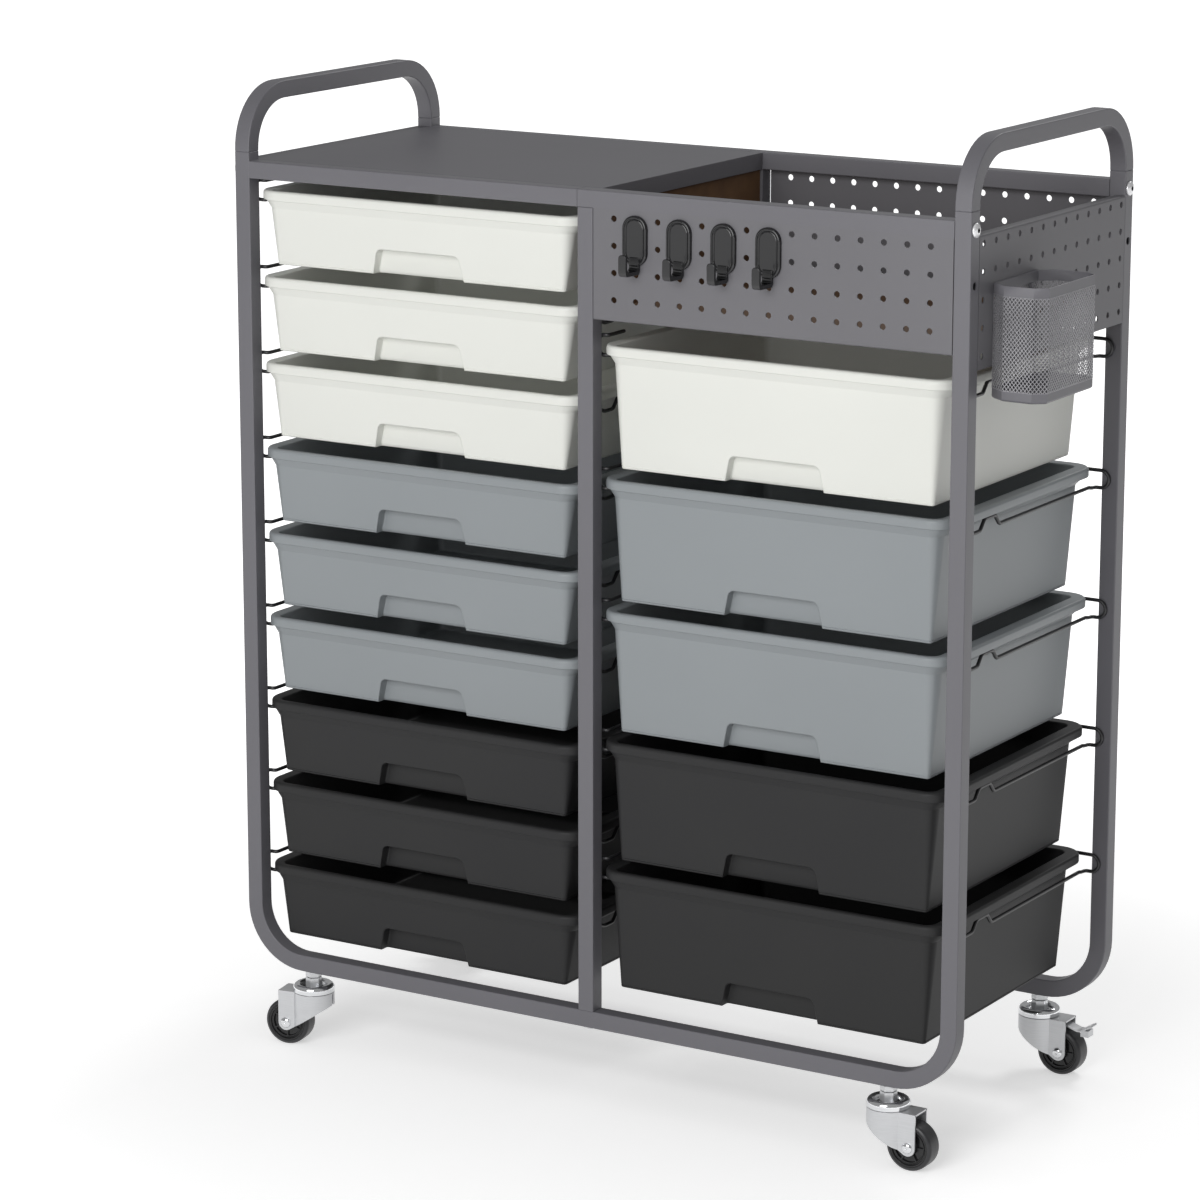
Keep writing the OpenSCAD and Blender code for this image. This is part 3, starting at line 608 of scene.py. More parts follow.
class Level:
    """A level outline of a drawer, set in from the lip by the given distances."""

    def __init__(self, side, front, back, z, r=None):
        self.x = RIM_W / 2 - side
        self.y0, self.y1 = RIM_FRONT + front, RIM_BACK - back
        self.z = z
        self.r = max(RIM_R - side, 1.5) if r is None else r

    def draw(self, steps=8):
        middle = (0, (self.y0 + self.y1) / 2, self.z)
        bpy.ops.mesh.primitive_plane_add(size=1, location=middle)
        stretch(2 * self.x, self.y1 - self.y0, 1, middle)
        round_corners(self.r, steps)
        bpy.ops.mesh.delete(type="ONLY_FACE")

    def holds(self, v):
        if abs(v.co.z - self.z) > 0.004:
            return False
        px = abs(v.co.x) - self.x + self.r
        py = abs(v.co.y - (self.y0 + self.y1) / 2) - (self.y1 - self.y0) / 2 + self.r
        return abs(hypot(max(px, 0), max(py, 0)) + min(max(px, py), 0) - self.r) < 0.01


def drawer_levels(h):
    """Outlines of the skin, from the middle of the foot up the outside, over the lip and down inside."""
    ledge_z, lip_z = h - LIP_H - LEDGE_H, h - LIP_H

    def wall(z, grow):
        k = z / ledge_z
        return Level(*[foot - out * k + grow for foot, out in zip(FOOT_IN, LEAN_OUT)], z)

    groove = [(0, 1.3), (0.4, 0.4), (1.3, 0), (2.3, 0), (2.5, 0.5), (3.0, 0.5), (3.3, 0)]
    levels = [wall(z, grow) for z, grow in groove + [(ledge_z - 0.6, 0)]]
    levels += [Level(12.7, 4.85, 12.7, ledge_z), Level(12.2, 4.6, 12.2, ledge_z + 0.5)]
    levels += [Level(5.8, 2.0, 5.8, lip_z - 0.8), Level(5.4, 1.7, 5.4, lip_z - 0.3)]
    levels += [Level(4.6, 1.4, 4.6, lip_z), Level(1, 0.9, 1, lip_z + 0.05)]
    levels += [Level(0.3, 0.3, 0.3, lip_z + 0.3), Level(0, 0, 0, lip_z + 1)]
    for a in (0, 22.5, 45, 67.5, 90):
        g = LIP_R - LIP_R * cos(radians(a))
        levels.append(Level(g, g, g, h - LIP_R + LIP_R * sin(radians(a))))
    for a in (0, 30, 60, 90):
        g = OPENING_R - OPENING_R * sin(radians(a))
        z = h - 0.05 - OPENING_R + OPENING_R * cos(radians(a))
        levels.append(Level(*[edge - g for edge in OPENING_IN], z, RIM_R - OPENING_IN[0] + g))
    k = (SKIN + INNER_FOOT_R) / h
    for a in (0, 30, 60, 90):
        g = INNER_FOOT_R - INNER_FOOT_R * cos(radians(a))
        z = SKIN + INNER_FOOT_R - INNER_FOOT_R * sin(radians(a))
        inset = [foot + SKIN - out * k + g for foot, out in zip(FOOT_IN, LEAN_OUT)]
        levels.append(Level(*inset, z, 4.5 + 6 * k))
    return levels


def at_depth(y):
    """A test for the points of the notch outline that was drawn at the depth y."""
    return lambda v: abs(v.co.y - y) < 0.004


def notch_outline(y, grow, foot):
    """Upright outline of the finger notch at the depth y, with its two upper corners rounded."""
    high, half = NOTCH_H + grow, NOTCH_HALF + grow
    middle = (0, y, (foot + high) / 2)
    here = at_depth(y)
    bpy.ops.mesh.primitive_plane_add(size=1, location=middle, rotation=ALONG_Y)
    stretch(2 * half, 1, high - foot, middle)
    choose("VERT", lambda v: here(v) and abs(v.co.z - high) < 0.01 and abs(abs(v.co.x) - half) < 0.01)
    stretch((NOTCH_TOP_HALF + grow) / half, 1, 1, (0, y, high))
    round_corners(NOTCH_R + 0.8 * grow, 6)
    choose("FACE", lambda f: all(here(v) for v in f.verts))
    bpy.ops.mesh.delete(type="ONLY_FACE")


def join_outlines(a, b):
    choose("EDGE", lambda e: all(a(v) for v in e.verts) or all(b(v) for v in e.verts))
    bpy.ops.mesh.bridge_edge_loops()


def close(test):
    choose("EDGE", lambda e: all(test(v) for v in e.verts))
    bpy.ops.mesh.edge_face_add()


def notch_body(name, steps, foot):
    """A body through notch outlines, each given by its depth and its growth; it stays in edit mode."""
    piece = begin(name)
    for y, grow in steps:
        notch_outline(y, grow, foot)
    for (a, _), (b, _) in zip(steps, steps[1:]):
        join_outlines(at_depth(a), at_depth(b))
    for end in (steps[0][0], steps[-1][0]):
        close(at_depth(end))
    weld(0.001)
    return piece


def notch_cutter(h):
    """What the finger notch takes out of the front, flared so that its rim comes out rounded."""
    flare, back = 1.2, 2
    steps = [(-4, flare), (0, flare), (0.16, 0.6), (0.6, 0.16), (flare, 0), (NOTCH_D - back, 0),
             (NOTCH_D - 0.6, -0.6), (NOTCH_D, -back)]
    piece = notch_body("notch_cutter", steps, NOTCH_FOOT)
    everything()
    bpy.ops.mesh.bisect(plane_co=(0, 0, NOTCH_LIFT), plane_no=(0, 0, 1))
    choose("VERT", lambda v: v.co.y > NOTCH_D - back - 0.01 and v.co.z < -1)
    move(y=2 * (NOTCH_LIFT - NOTCH_FOOT) / NOTCH_LIFT)
    choose("VERT", lambda v: v.co.y < flare + 0.1)
    turn(degrees(atan2(LEAN_OUT[1], h - LIP_H - LEDGE_H)), "X", (0, 0, 0))
    everything()
    move(y=RIM_FRONT + FOOT_IN[1])
    shut()
    return piece


def notch_block():
    """The bulge that the notch leaves inside the drawer."""
    start = RIM_FRONT + FOOT_IN[1] + 1
    steps = [(start, SKIN), (start + NOTCH_D, SKIN), (start + NOTCH_D + 1, SKIN - 1)]
    piece = notch_body("notch_block", steps, 1)
    shut()
    return piece


def moulded_drawer(name, h):
    """One drawer about the middle of its column, standing on Z = 0."""
    levels = drawer_levels(h)
    piece = begin(name)
    for level in levels:
        level.draw()
    for a, b in zip(levels, levels[1:]):
        join_outlines(a.holds, b.holds)
    for end in (levels[0], levels[-1]):
        close(end.holds)
    weld(0.001)
    shut()
    cut(piece, notch_block(), "UNION")
    cut(piece, notch_cutter(h))
    smooth(piece, 40)
    return piece


def fill_column(shape, node, count, finishes):
    for i in range(1, count + 1):
        low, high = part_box(node + str(i))
        x = (low.x + high.x) / 2 * 1000 - MID.x * 1000
        z = low.z * 1000
        drawer = another(shape, node + str(i) + "_moulding", Matrix.Translation((x, 0, z)))
        finish, slot = finishes[i - 1]
        hand_over(drawer, finish, node + str(i), slot, node + str(i))
    bpy.data.objects.remove(shape)


WHITE = (white_plastic, "drawer_white")
GREY = (grey_plastic, "drawer_grey")
BLACK = (black_plastic, "drawer_black")
fill_column(moulded_drawer("small_shape", (small_high.z - small_low.z) * 1000), "small_drawer_", 9,
            [WHITE] * 3 + [GREY] * 3 + [BLACK] * 3)
fill_column(moulded_drawer("deep_shape", (deep_high.z - deep_low.z) * 1000), "deep_drawer_", 5,
            [WHITE] + [GREY] * 2 + [BLACK] * 2)


# Top board and perforated sheets; the bin keeps its own floor and divider

PANEL_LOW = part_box("front_panel")[0].z * 1000
SIDE_LOW, SIDE_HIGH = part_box("side_panel")[0].z * 1000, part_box("side_panel")[1].z * 1000
SHEET, FLANGE, SIDE_FLANGE = 1.5, 24, 10
INNER_Y = HALF_D - TUBE
COLUMN = (HALF_W - TUBE + TUBE / 2) / 2
HOLE_R, PIN_R, ROW_STEP = 3.2, 3, 27
HOLE_STEP, FIRST_ROW = 25, 26.5
SIDE_HOLE_STEP, SIDE_FIRST_ROW = 25.25, 8.5
LEFT_GAP, RIGHT_GAP, RAIL_LAP = 0.8, 0.4, 1.1


def laminated_board():
    piece = begin("cart_top_board")
    bpy.ops.mesh.primitive_cube_add(size=1, location=(TUBE / 4 - HALF_W / 2, 0, TOP_Z - TUBE / 2),
                                    scale=(HALF_W + TUBE / 2, 2 * INNER_Y, TUBE))
    everything()
    round_edges(0.7, 2)
    shut()
    smooth(piece)
    hand_over(piece, board_paint, "frame", "board_laminate", "top_board")


def drill_grid(places, turned):
    """Round drills, one at each place."""
    drills = begin("peg_drills")
    for place in places:
        rod(HOLE_R, 6, place, turned, 20)
    shut()
    return drills


def folded_sheet(name, line, run):
    """A sheet drawn as a line, folded with a small radius, drawn out along run and given its thickness."""
    piece = begin(name)
    trace(line)
    middle = line[1]
    choose("VERT", lambda v: (v.co - Vector(middle)).length < 0.01)
    round_corners(1.6, 4)
    everything()
    push(*run)
    weld(0.001)
    shut()
    apply_modifier(piece, "SOLIDIFY", thickness=SHEET, offset=0, use_even_offset=True)
    reopen(piece)
    everything()
    bpy.ops.mesh.normals_make_consistent(inside=False)
    shut()
    return piece


def perforated_sheets():
    for side, end in ((-1, "front"), (1, "back")):
        y = side * (HALF_D - SHEET / 2)
        foot, left = PANEL_LOW + SHEET / 2, TUBE / 2 + LEFT_GAP
        line = [(left, y, TOP_Z - TUBE + RAIL_LAP), (left, y, foot), (left, side * (HALF_D - FLANGE), foot)]
        length = 2 * (COLUMN - TUBE / 2) - LEFT_GAP - RIGHT_GAP
        sheet = folded_sheet(end + "_peg_sheet", line, (length, 0, 0))
        cut(sheet, drill_grid([(COLUMN + (i - 7) * HOLE_STEP, y, TOP_Z - FIRST_ROW - ROW_STEP * j)
                               for i in range(15) for j in range(4)], ALONG_Y))
        smooth(sheet)
        hand_over(sheet, panel_paint, "frame", "panel_paint", end + "_panel")
    x = HALF_W - SHEET / 2
    top = SIDE_HIGH - SHEET / 2
    line = [(x, -INNER_Y, SIDE_LOW), (x, -INNER_Y, top), (HALF_W - SIDE_FLANGE, -INNER_Y, top)]
    sheet = folded_sheet("side_peg_sheet", line, (0, 2 * INNER_Y, 0))
    cut(sheet, drill_grid([(x, (i - 6) * SIDE_HOLE_STEP, SIDE_HIGH - SIDE_FIRST_ROW - ROW_STEP * j)
                           for i in range(13) for j in range(5)], ALONG_X))
    smooth(sheet)
    hand_over(sheet, panel_paint, "frame", "panel_paint", "side_panel")


laminated_board()
perforated_sheets()
paint_node("bin_floor", hardboard)
paint_node("bin_divider", hardboard)


# Runner wires

WIRE_R, OUTER_BULGE, INNER_BULGE = 2, 9, 5.5


def eased(a, b, c, d, n):
    """Points of a curve round the corner b between a and c, which leaves both lines at the distance d."""
    a, b, c = Vector(a), Vector(b), Vector(c)
    p, q = b + (a - b).normalized() * d, b + (c - b).normalized() * d
    return [(1 - t) ** 2 * p + 2 * t * (1 - t) * b + t * t * q for t in [i / n for i in range(n + 1)]]


def wire_half(side, bulge):
    """Half of a runner from its free front end to the middle of the bar behind the drawer."""
    x, loop, low, up, drop = RIM_W / 2 - 4, (HALF_W - 1.5 * TUBE) / 2, -12.3, 8, -22.5
    front, back = TUBE + 2.15, 2 * HALF_D - TUBE - 2.15
    bar_low, bar_high = -24.5, -6.5

    def around(y, top, foot, start, angle):
        ends = arc(loop, (top + foot) / 2, bulge, (top - foot) / 2, sweep(start, angle, 12))
        return [Vector((x, y, z)) for x, z in ends]

    line = [Vector((x, front + 30, up))]
    line += eased((x, front + 9, up), (x, front, up), (loop, front, up), 4, 4)
    line += around(front, up, low, 90, -180)
    line += eased((loop, front, low), (x, front, low), (x, front + 9, low), 4, 4)
    bends = [(x, front + 9, low), (x, 36, -13.8), (x, 62, drop), (x, 78, drop), (x, 87, low), (x, 110, low),
             (x, 119, drop), (x, back - 14, drop), (x, back - 9, bar_low)]
    for a, b, c in zip(bends, bends[1:], bends[2:]):
        line += eased(a, b, c, 2.6, 3)
    line += eased((x, back - 9, bar_low), (x - 1, back, bar_low), (loop, back, bar_low), 5, 4)
    line += around(back, bar_high, bar_low, -90, 180)
    line.append(Vector((x - 12, back, bar_high)))
    return [(side * p.x, p.y - HALF_D, p.z) for p in line]


def bent_wire(left_bulge, right_bulge):
    piece = begin("runner_wire_shape")
    right, left = wire_half(1, right_bulge), wire_half(-1, left_bulge)
    trace(right + left[::-1])
    shut()
    bpy.ops.object.convert(target="CURVE")
    wire = bpy.context.object
    wire.data.bevel_depth = WIRE_R
    wire.data.bevel_resolution = 2
    wire.data.use_fill_caps = True
    bpy.ops.object.convert(target="MESH")
    wire = bpy.context.object
    reopen(wire)
    weld(0.01)
    shut()
    smooth(wire, 50)
    return wire


def hang_wires(prefix, count, left_bulge, right_bulge, stands_for):
    shape = bent_wire(left_bulge, right_bulge)
    for i in range(1, count + 1):
        low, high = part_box(prefix + "_drawer_" + str(i))
        x = ((low.x + high.x) / 2 - MID.x) * 1000
        wire = another(shape, prefix + "_runner_wire_" + str(i), Matrix.Translation((x, 0, high.z * 1000)))
        hand_over(wire, wire_paint, "frame", "wire_paint", stands_for)
    bpy.data.objects.remove(shape)


hang_wires("small", 9, OUTER_BULGE, INNER_BULGE, "left_runner_wires")
hang_wires("deep", 5, INNER_BULGE, OUTER_BULGE, "right_runner_wires")


# Peg hooks

HOOK_W, HOOK_REACH = 28, 26


def hook_shape():
    """Hook with a moulded plate, a double raised outline round its field, and a ribbed arm."""
    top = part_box("peg_hook_1")[1].z * 1000
    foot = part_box("peg_hook_1")[0].z * 1000
    low = foot + 8
    middle = (0, 0, (top + low) / 2)
    piece = begin("hook_plate")
    bpy.ops.mesh.primitive_plane_add(size=1, location=middle, rotation=ALONG_Y)
    stretch(HOOK_W, 1, top - low, middle)
    round_corners(HOOK_W / 2 - 0.4, 14)
    choose("FACE", lambda f: True)
    push(y=-2.4)
    for thickness, depth in ((0.35, 0.7), (0.6, 0.5), (0.8, 0.2), (0.7, -0.15), (0.35, -0.75),
                             (0.45, -0.1), (0.3, 0.65), (0.45, 0.25), (0.45, 0.0), (0.35, -0.35),
                             (0.3, -0.7), (1.5, -0.1)):
        bpy.ops.mesh.inset(thickness=thickness, depth=depth)
    weld(0.0001)
    for row in (0, 1):
        rod(PIN_R, 5, (0, 2.4, TOP_Z - FIRST_ROW - ROW_STEP * row), ALONG_Y, 20)
    shut()
    arm = begin("hook_arm")
    tip = -HOOK_REACH
    side = [(-0.4, low + 9), (-0.4, foot + 3), (-3, foot), (tip + 4, foot), (tip + 1, foot + 1.6),
            (tip, foot + 5), (tip, foot + 22), (tip + 3.6, foot + 22), (tip + 3.6, foot + 6.5),
            (tip + 5.5, foot + 4.4), (-5.5, foot + 4.4), (-4.2, foot + 6.2), (-3.6, low + 9)]
    trace([(-5.5, y, z) for y, z in side])
    everything()
    bpy.ops.mesh.edge_face_add()
    push(x=11)
    weld(0.001)
    choose("VERT", lambda v: v.co.y < tip + 5)
    stretch(0.82, 1, 1, (0, tip, foot))
    choose("EDGE", lambda e: all(v.co.z > foot + 21.9 and v.co.y < tip + 5 for v in e.verts)
           and abs(e.verts[0].co.x - e.verts[1].co.x) < 0.01)
    round_edges(3.6, 5)
    choose("EDGE", lambda e: e.calc_face_angle(0) > radians(50))
    round_edges(0.7, 2)
    for rib in (3.6, 6.2, 8.8):
        rod(0.7, 8.6, (0, -4.5, foot + rib), ALONG_X, 10)
    shut()
    join(piece, arm)
    smooth(piece, 30)
    return piece


def hang_hooks():
    shape = hook_shape()
    for i in range(1, 5):
        low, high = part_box("peg_hook_" + str(i))
        x = ((low.x + high.x) / 2 - MID.x) * 1000
        hook = another(shape, "moulded_hook_" + str(i), Matrix.Translation((x, -HALF_D, 0)))
        hand_over(hook, hook_paint, "frame", "hook_paint", "peg_hook_" + str(i))
    bpy.data.objects.remove(shape)


hang_hooks()


# Pen cup of expanded metal

CUP_LOW, CUP_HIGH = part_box("pen_cup")[0].z * 1000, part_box("pen_cup")[1].z * 1000
CUP_Y = (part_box("pen_cup")[0].y - MID.y) * 1000
CUP_PLAN = [(0, 12), (16.5, 0), (48, 0), (60, 9.5), (60, 108.5), (48, 118), (16.5, 118), (0, 106)]
CUP_BAND, CUP_STRAND = 10.5, 0.36
CUP_CELLS, CUP_ROWS = 84, 19


def cup_mesh():
    """One flat strip of diamond mesh, folded round the plan of the cup."""
    corners = [Vector((HALF_W + x, CUP_Y + y, 0)) for x, y in CUP_PLAN]
    sides = [(b - a) for a, b in zip(corners, corners[1:] + corners[:1])]
    length = sum(s.length for s in sides)
    low, high = CUP_LOW + CUP_BAND - 0.6, CUP_HIGH - CUP_BAND + 0.6
    piece = begin("cup_mesh")
    start = corners[0]
    middle = (start.x + length / 2, start.y, (low + high) / 2)
    bpy.ops.mesh.primitive_grid_add(x_subdivisions=CUP_CELLS, y_subdivisions=CUP_ROWS, size=1,
                                    location=middle, rotation=ALONG_Y)
    stretch(length, 1, high - low, middle)
    bpy.ops.mesh.poke()
    choose("EDGE", lambda e: not e.is_boundary and (abs(e.verts[0].co.x - e.verts[1].co.x) < 0.01
                                                    or abs(e.verts[0].co.z - e.verts[1].co.z) < 0.01))
    bpy.ops.mesh.dissolve_edges(use_verts=False)
    bpy.ops.mesh.select_mode(type="FACE")
    everything()
    bpy.ops.mesh.inset(thickness=CUP_STRAND, use_individual=True, use_boundary=True)
    bpy.ops.mesh.delete(type="FACE")
    angle = degrees(atan2(sides[0].y, sides[0].x))
    everything()
    turn(angle, "Z", start)
    for k in range(1, len(corners)):
        way = sides[k - 1].normalized()
        everything()
        bpy.ops.mesh.bisect(plane_co=corners[k], plane_no=way)
        choose("VERT", lambda v: (Vector((v.co.x, v.co.y, 0)) - corners[k]).dot(way) > 0.005
               and abs((v.co.x - corners[k].x) * way.y - (v.co.y - corners[k].y) * way.x) < 0.02)
        step = degrees(atan2(sides[k].y, sides[k].x)) - degrees(atan2(sides[k - 1].y, sides[k - 1].x))
        turn(step % 360, "Z", corners[k])
    everything()
    bpy.ops.mesh.remove_doubles(threshold=0.004)
    bpy.ops.mesh.normals_make_consistent(inside=False)
    shut()
    apply_modifier(piece, "SOLIDIFY", thickness=0.5, offset=0)
    smooth(piece, 30)
    return piece


def cup_bands():
    """Plain folded bands at the rim and the foot, with the floor, and two pegs into the side sheet."""
    outline = [(HALF_W + x, CUP_Y + y) for x, y in CUP_PLAN + CUP_PLAN[:1]]
    piece = begin("cup_rim_band")
    trace([(x, y, CUP_HIGH - CUP_BAND) for x, y in outline])
    everything()
    push(z=CUP_BAND)
    weld(0.01)
    shut()
    apply_modifier(piece, "SOLIDIFY", thickness=1.5, offset=-1)
    reopen(piece)
    choose("EDGE", lambda e: all(v.co.z > CUP_HIGH - 0.01 for v in e.verts))
    round_edges(0.4, 2)
    shut()
    foot = begin("cup_foot_band")
    trace([(x, y, CUP_LOW + CUP_BAND) for x, y in outline])
    everything()
    bpy.ops.mesh.remove_doubles(threshold=0.01)
    bpy.ops.mesh.edge_face_add()
    push(z=2.6 - CUP_BAND)
    for thickness, depth in ((0.25, 1.0), (0.65, 0.9), (1.1, 0.7), (6, 0.0)):
        bpy.ops.mesh.inset(thickness=thickness, depth=depth)
    choose("FACE", lambda f: f.calc_center_median().z > CUP_LOW + CUP_BAND - 0.01)
    bpy.ops.mesh.delete(type="ONLY_FACE")
    everything()
    bpy.ops.mesh.normals_make_consistent(inside=False)
    shut()
    apply_modifier(foot, "SOLIDIFY", thickness=1.2, offset=-1)
    pegs = begin("cup_pegs")
    for i in (2, 4):
        place = (HALF_W, (i - 6) * SIDE_HOLE_STEP, SIDE_HIGH - SIDE_FIRST_ROW - 2 * ROW_STEP)
        rod(PIN_R, 6, place, ALONG_X, 20)
    shut()
    join(piece, foot, pegs)
    smooth(piece, 25)
    return piece


hand_over(cup_mesh(), cup_paint, "frame", "frame_paint", "pen_cup")
hand_over(cup_bands(), frame_paint, "frame", "frame_paint")


# Screws

HEAD_R, HEAD_H, BRIM_H = 7.2, 3.4, 0.9
SOCKET_R, SHANK_R, SHANK_L = 2.6, 2.95, 30


def lathe(points, steps):
    """Turns an outline, drawn in the XZ plane, about Z; one that starts on the axis also ends there."""
    closing = [] if points[0][0] == 0 else points[:1]
    trace([(r, 0, z) for r, z in points + closing])
    everything()
    bpy.ops.mesh.spin(steps=steps, angle=2 * pi, center=(0, 0, 0), axis=(0, 0, 1))
    weld(0.005)


def button_screw():
    """Screw with a round head that stands on Z = 0, and the faces inside its hexagon socket, which get a
    dark finish as painted shade.
    """
    piece = begin("button_screw")
    dome = [(HEAD_R - 0.25, 0), (HEAD_R, 0.25), (HEAD_R, BRIM_H)]
    dome += arc(0, BRIM_H, HEAD_R, HEAD_H - BRIM_H, (15, 30, 45, 60, 72))
    lathe([(0, 0)] + dome + [(0, HEAD_H)], 36)
    shut()
    socket = begin("socket")
    rod(SOCKET_R, 4.4, (0, 0, HEAD_H + 0.1), UPRIGHT, 6)
    shut()
    cut(piece, socket)
    reopen(piece)
    rod(SHANK_R, SHANK_L, (0, 0, 0.1 - SHANK_L / 2))
    shut()
    smooth(piece, 35)
    # Faces inside the hexagon socket, to be painted dark as the shade in the recess
    inside = [f.index for f in piece.data.polygons
              if hypot(f.center.x, f.center.y) < 2.5 and 0.5 < f.center.z
              and (abs(f.normal.z) < 0.1 or f.center.z < 1.5)]
    return piece, inside


def drive_screws():
    shape, inside = button_screw()

    def drive(name, place, stands_for):
        screw = hand_over(another(shape, name, place), screw_metal, "frame", "screw", stands_for)
        # The socket faces take the dark plug plastic: painted shade inside the hexagon socket
        screw.data.materials.append(plug_plastic_and_socket_shade)
        for i in inside:
            screw.data.polygons[i].material_index = 1

    for sx, sy, name in ((-1, -1, "left_front"), (1, -1, "right_front"),
                         (-1, 1, "left_back"), (1, 1, "right_back")):
        place = Matrix.Translation((sx * HALF_W, sy * STEM_Y, TOP_Z - TUBE / 2))
        drive("rail_screw_" + name, place @ Matrix.Rotation(sx * pi / 2, 4, "Y"), "rail_screws")
    for sy, name in ((-1, "front"), (1, "back")):
        place = Matrix.Translation((0, sy * STEM_Y, RAIL_Z))
        drive("post_screw_" + name, place @ Matrix.Rotation(pi, 4, "X"), "post_screws")
    bpy.data.objects.remove(shape)


drive_screws()
paint_node("rail_plugs", plug_plastic_and_socket_shade)


# Casters, each about its own stem, the wheel trailing along +X

FORK_Z, TRAIL, WHEEL_R, WHEEL_W = 60.5, 28, 25, 21.4
COLLAR_Z, NUT_H, NUT_R = 70.1, 6.2, 8.7
RACE_TOP, STEM_L, STEM_MIDDLE, RIVET_R = 65.4, 36.6, 76.7, 7.4
FORK_W, FORK_T, FORK_R, LUG_R = 26, 1.8, 22, 8.5


def hexagon(z, height):
    """Hexagon nut with its corners taken off, in the open piece."""
    rod(NUT_R, height, (0, 0, z + height / 2), UPRIGHT, 6)
    choose("EDGE", lambda e: all(abs(hypot(v.co.x, v.co.y) - NUT_R) < 0.02 for v in e.verts)
           and abs(e.verts[0].co.z - e.verts[1].co.z) < 0.01
           and (abs(e.verts[0].co.z - z) < 0.01 or abs(e.verts[0].co.z - z - height) < 0.01))
    round_edges(0.7, 2)


def stem_shape():
    piece = begin("stem_shape")
    rod(STEM_R, STEM_L, (0, 0, STEM_MIDDLE), UPRIGHT, 32)
    hexagon(RACE_TOP, COLLAR_Z + NUT_H - RACE_TOP)
    rod(RIVET_R, 4, (0, 0, 56.4), UPRIGHT, 32)
    choose("EDGE", lambda e: all(v.co.z < 54.5 for v in e.verts))
    round_edges(1.2, 3)
    shut()
    smooth(piece)
    return piece


def jam_nut_shape():
    piece = begin("jam_nut_shape")
    hexagon(COLLAR_Z + NUT_H + 0.5, NUT_H)
    shut()
    smooth(piece)
    return piece


def race_shape():
    """Dished raceway cover: a polished rim round a lower dish."""
    piece = begin("race_shape")
    line = [(STEM_R, 60.8), (21.7, 60.8), (22.3, 61.4), (22.3, 64.6)]
    line += arc(17.8, 65.2, 4.5, 4.6, range(0, 180, 15))
    line += [(13.2, 65.2), (12.7, 64.4), (11.8, 64.2), (STEM_R, 64.2)]
    lathe(line, 56)
    shut()
    smooth(piece, 40)
    return piece


def fork_shape():
    """Pressed fork: a round cup that runs into two side plates, its lower edge sloping to the axle."""
    outer = LUG_R + TRAIL
    meet = (FORK_R ** 2 - (FORK_W / 2) ** 2) ** 0.5
    a0 = degrees(atan2(FORK_W / 2, meet))
    piece = begin("fork_shape")
    cup = arc(0, 0, FORK_R, FORK_R, sweep(a0, 360 - 2 * a0, 35))
    line = [(outer, FORK_W / 2)] + cup + [(outer, -FORK_W / 2)]
    block([(x, y, FORK_Z) for x, y in line], (0, 0, -50))
    shut()
    nose_z = FORK_Z - 13
    tx, tz = -FORK_R - 1 - TRAIL, nose_z - WHEEL_R
    lean = degrees(atan2(tz, tx)) + degrees(acos(LUG_R / hypot(tx, tz)))
    side = [(outer, FORK_Z + 1), (-FORK_R - 1, FORK_Z + 1), (-FORK_R - 1, nose_z)]
    side += arc(TRAIL, WHEEL_R, LUG_R, LUG_R, sweep(lean, 360 - lean, 14))
    keep = begin("fork_side")
    block([(x, -24, z) for x, z in side], (0, 48, 0))
    shut()
    cut(piece, keep, "INTERSECT")
    reopen(piece)
    choose("FACE", lambda f: abs(f.normal.y) < 0.01 and f.normal.z < 0.9)
    bpy.ops.mesh.delete(type="FACE")
    choose("EDGE", lambda e: all(v.co.z > FORK_Z - 0.01 for v in e.verts) and len(e.link_faces) == 2
           and abs(e.link_faces[0].normal.z - e.link_faces[1].normal.z) > 0.5)
    round_edges(1.6, 3)
    everything()
    bpy.ops.mesh.normals_make_consistent(inside=False)
    shut()
    apply_modifier(piece, "SOLIDIFY", thickness=FORK_T, offset=-1, use_even_offset=True)
    smooth(piece, 28)
    return piece


def on_axle(piece):
    """Turns a lathed piece from Z to the axle, which lies along Y."""
    reopen(piece)
    everything()
    turn(90, "X", (0, 0, 0))
    move(x=TRAIL, z=WHEEL_R)
    shut()
    return piece


def axle_shape():
    piece = begin("axle_shape")
    half = FORK_W / 2
    head = [(4, half), (5.6, half), (5.6, half + 0.5)]
    head += arc(1.2, half + 0.5, 4.4, 2.3, (20, 40, 60, 80, 90)) + [(0.9, half + 2.5)]
    lathe([(0, -half - 2.2)] + [(r, -z) for r, z in head[::-1]] + head + [(0, half + 2.2)], 32)
    shut()
    on_axle(piece)
    smooth(piece, 35)
    return piece


def hub_shape():
    """Glossy hub: raised rim, stepped rings, recessed web with ribs, and a boss round the axle."""
    half = WHEEL_W / 2
    piece = begin("hub_shape")
    face = [(21, half - 0.4), (20.6, half), (19.2, half), (18.6, half - 0.5), (18.3, half - 2),
            (17.2, half - 2.3), (16.8, half - 1.8), (16.0, half - 1.8), (15.6, half - 2.4),
            (15.3, half - 3.8), (8.6, half - 3.8), (8.1, half - 3.2), (7.8, half - 0.2),
            (7.4, half + 0.2), (4.05, half + 0.2)]
    lathe(face + [(r, -z) for r, z in face[::-1]], 56)
    shut()
    ribs = begin("hub_ribs")
    for k in range(6):
        for s in (-1, 1):
            a = radians(60 * k + (0 if s > 0 else 30))
            bpy.ops.mesh.primitive_cube_add(size=1, location=(12 * cos(a), 12 * sin(a), s * (half - 3.6)),
                                            rotation=(0, 0, a), scale=(9, 1.5, 3.6))
    shut()
    cut(piece, ribs, "UNION")
    on_axle(piece)
    smooth(piece, 32)
    return piece


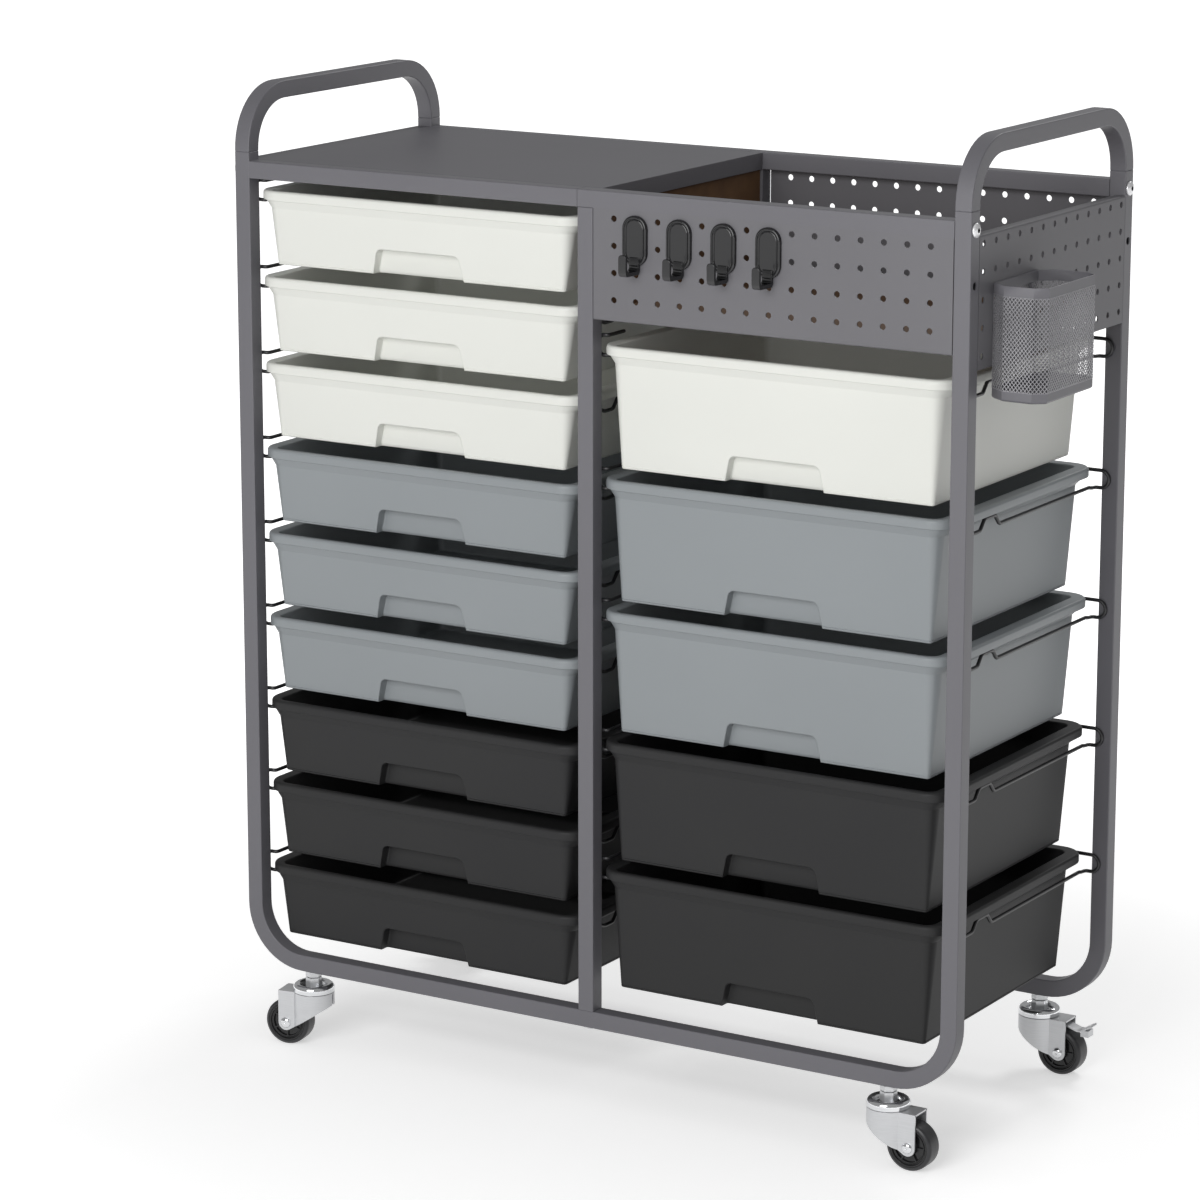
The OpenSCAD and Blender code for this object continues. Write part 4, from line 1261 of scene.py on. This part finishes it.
def tyre_shape():
    """Tyre with round shoulders, a slightly crowned tread and a fine moulding line."""
    half = WHEEL_W / 2
    piece = begin("tyre_shape")
    side = [(21, half), (22.2, half - 0.1)]
    side += arc(21.6, half - 3.5, 3.3, 3.3, (75, 60, 45, 30, 15))
    side += [(24.95, half - 4.2), (25, 0.5), (25.0, 0.25), (24.9, 0)]
    lathe(side + [(r, -z) for r, z in side[-2::-1]], 72)
    shut()
    on_axle(piece)
    smooth(piece, 35)
    return piece


def brake_shape():
    """Pressed brake lever with a ribbed pedal, its cross pin and its pad."""
    top = 2 * WHEEL_R
    side = [(17, top + 3.5), (36, top + 2.8), (47, top - 0.5), (52, top), (64, top + 7), (63, top + 9),
            (51.2, top + 2), (47, top + 1.6), (36.6, top + 5), (17, top + 6.5)]
    piece = begin("brake_shape")
    block([(x, -7, z) for x, z in side], (0, 14, 0))
    choose("EDGE", lambda e: e.calc_face_angle(0) > radians(50))
    round_edges(0.5, 2)
    for k in range(4):
        x = 54.5 + 2.2 * k
        rod(0.5, 11, (x, 0, top + 2 + (x - 51.2) * 7 / 11.8), ALONG_Y, 10)
    rod(1.6, FORK_W - 2 * FORK_T - 0.6, (20, 0, top + 5.5), ALONG_Y, 20)
    bpy.ops.mesh.primitive_cube_add(size=1, location=(55.5, 0, top - 1.5), scale=(9, 12, 7))
    shut()
    smooth(piece, 30)
    return piece


CASTERS = (("front_left", -1, -1, 190), ("front_right", 1, -1, 0),
           ("back_left", -1, 1, 170), ("back_right", 1, 1, 0))


def fit_casters():
    shapes = {"stem": (stem_shape(), zinc, "zinc"), "jam_nut": (jam_nut_shape(), zinc, "zinc"),
              "race": (race_shape(), polished, "bright_plate"), "fork": (fork_shape(), zinc, "zinc"),
              "axle": (axle_shape(), polished, "bright_plate"), "hub": (hub_shape(), hub_plastic, "hub"),
              "tyre": (tyre_shape(), tyre_rubber, "tyre"), "brake": (brake_shape(), zinc, "zinc")}
    for name, sx, sy, yaw in CASTERS:
        place = Matrix.Translation((sx * STEM_X, sy * STEM_Y, 0)) @ Matrix.Rotation(radians(yaw), 4, "Z")
        for part, (shape, finish, slot) in shapes.items():
            if part in ("stem", "jam_nut", "race"):
                body, stands_for = "frame", "caster_" + part + "s"
            elif part == "brake":
                if sy < 0:
                    continue
                body, stands_for = name + "_brake_lever", name + "_brake"
            else:
                body = name + ("_swivel" if part in ("fork", "axle") else "_wheel")
                stands_for = name + "_" + part
            hand_over(another(shape, name + "_" + part + "_piece", place), finish, body, slot, stands_for)
    for shape, _, _ in shapes.values():
        bpy.data.objects.remove(shape)


fit_casters()
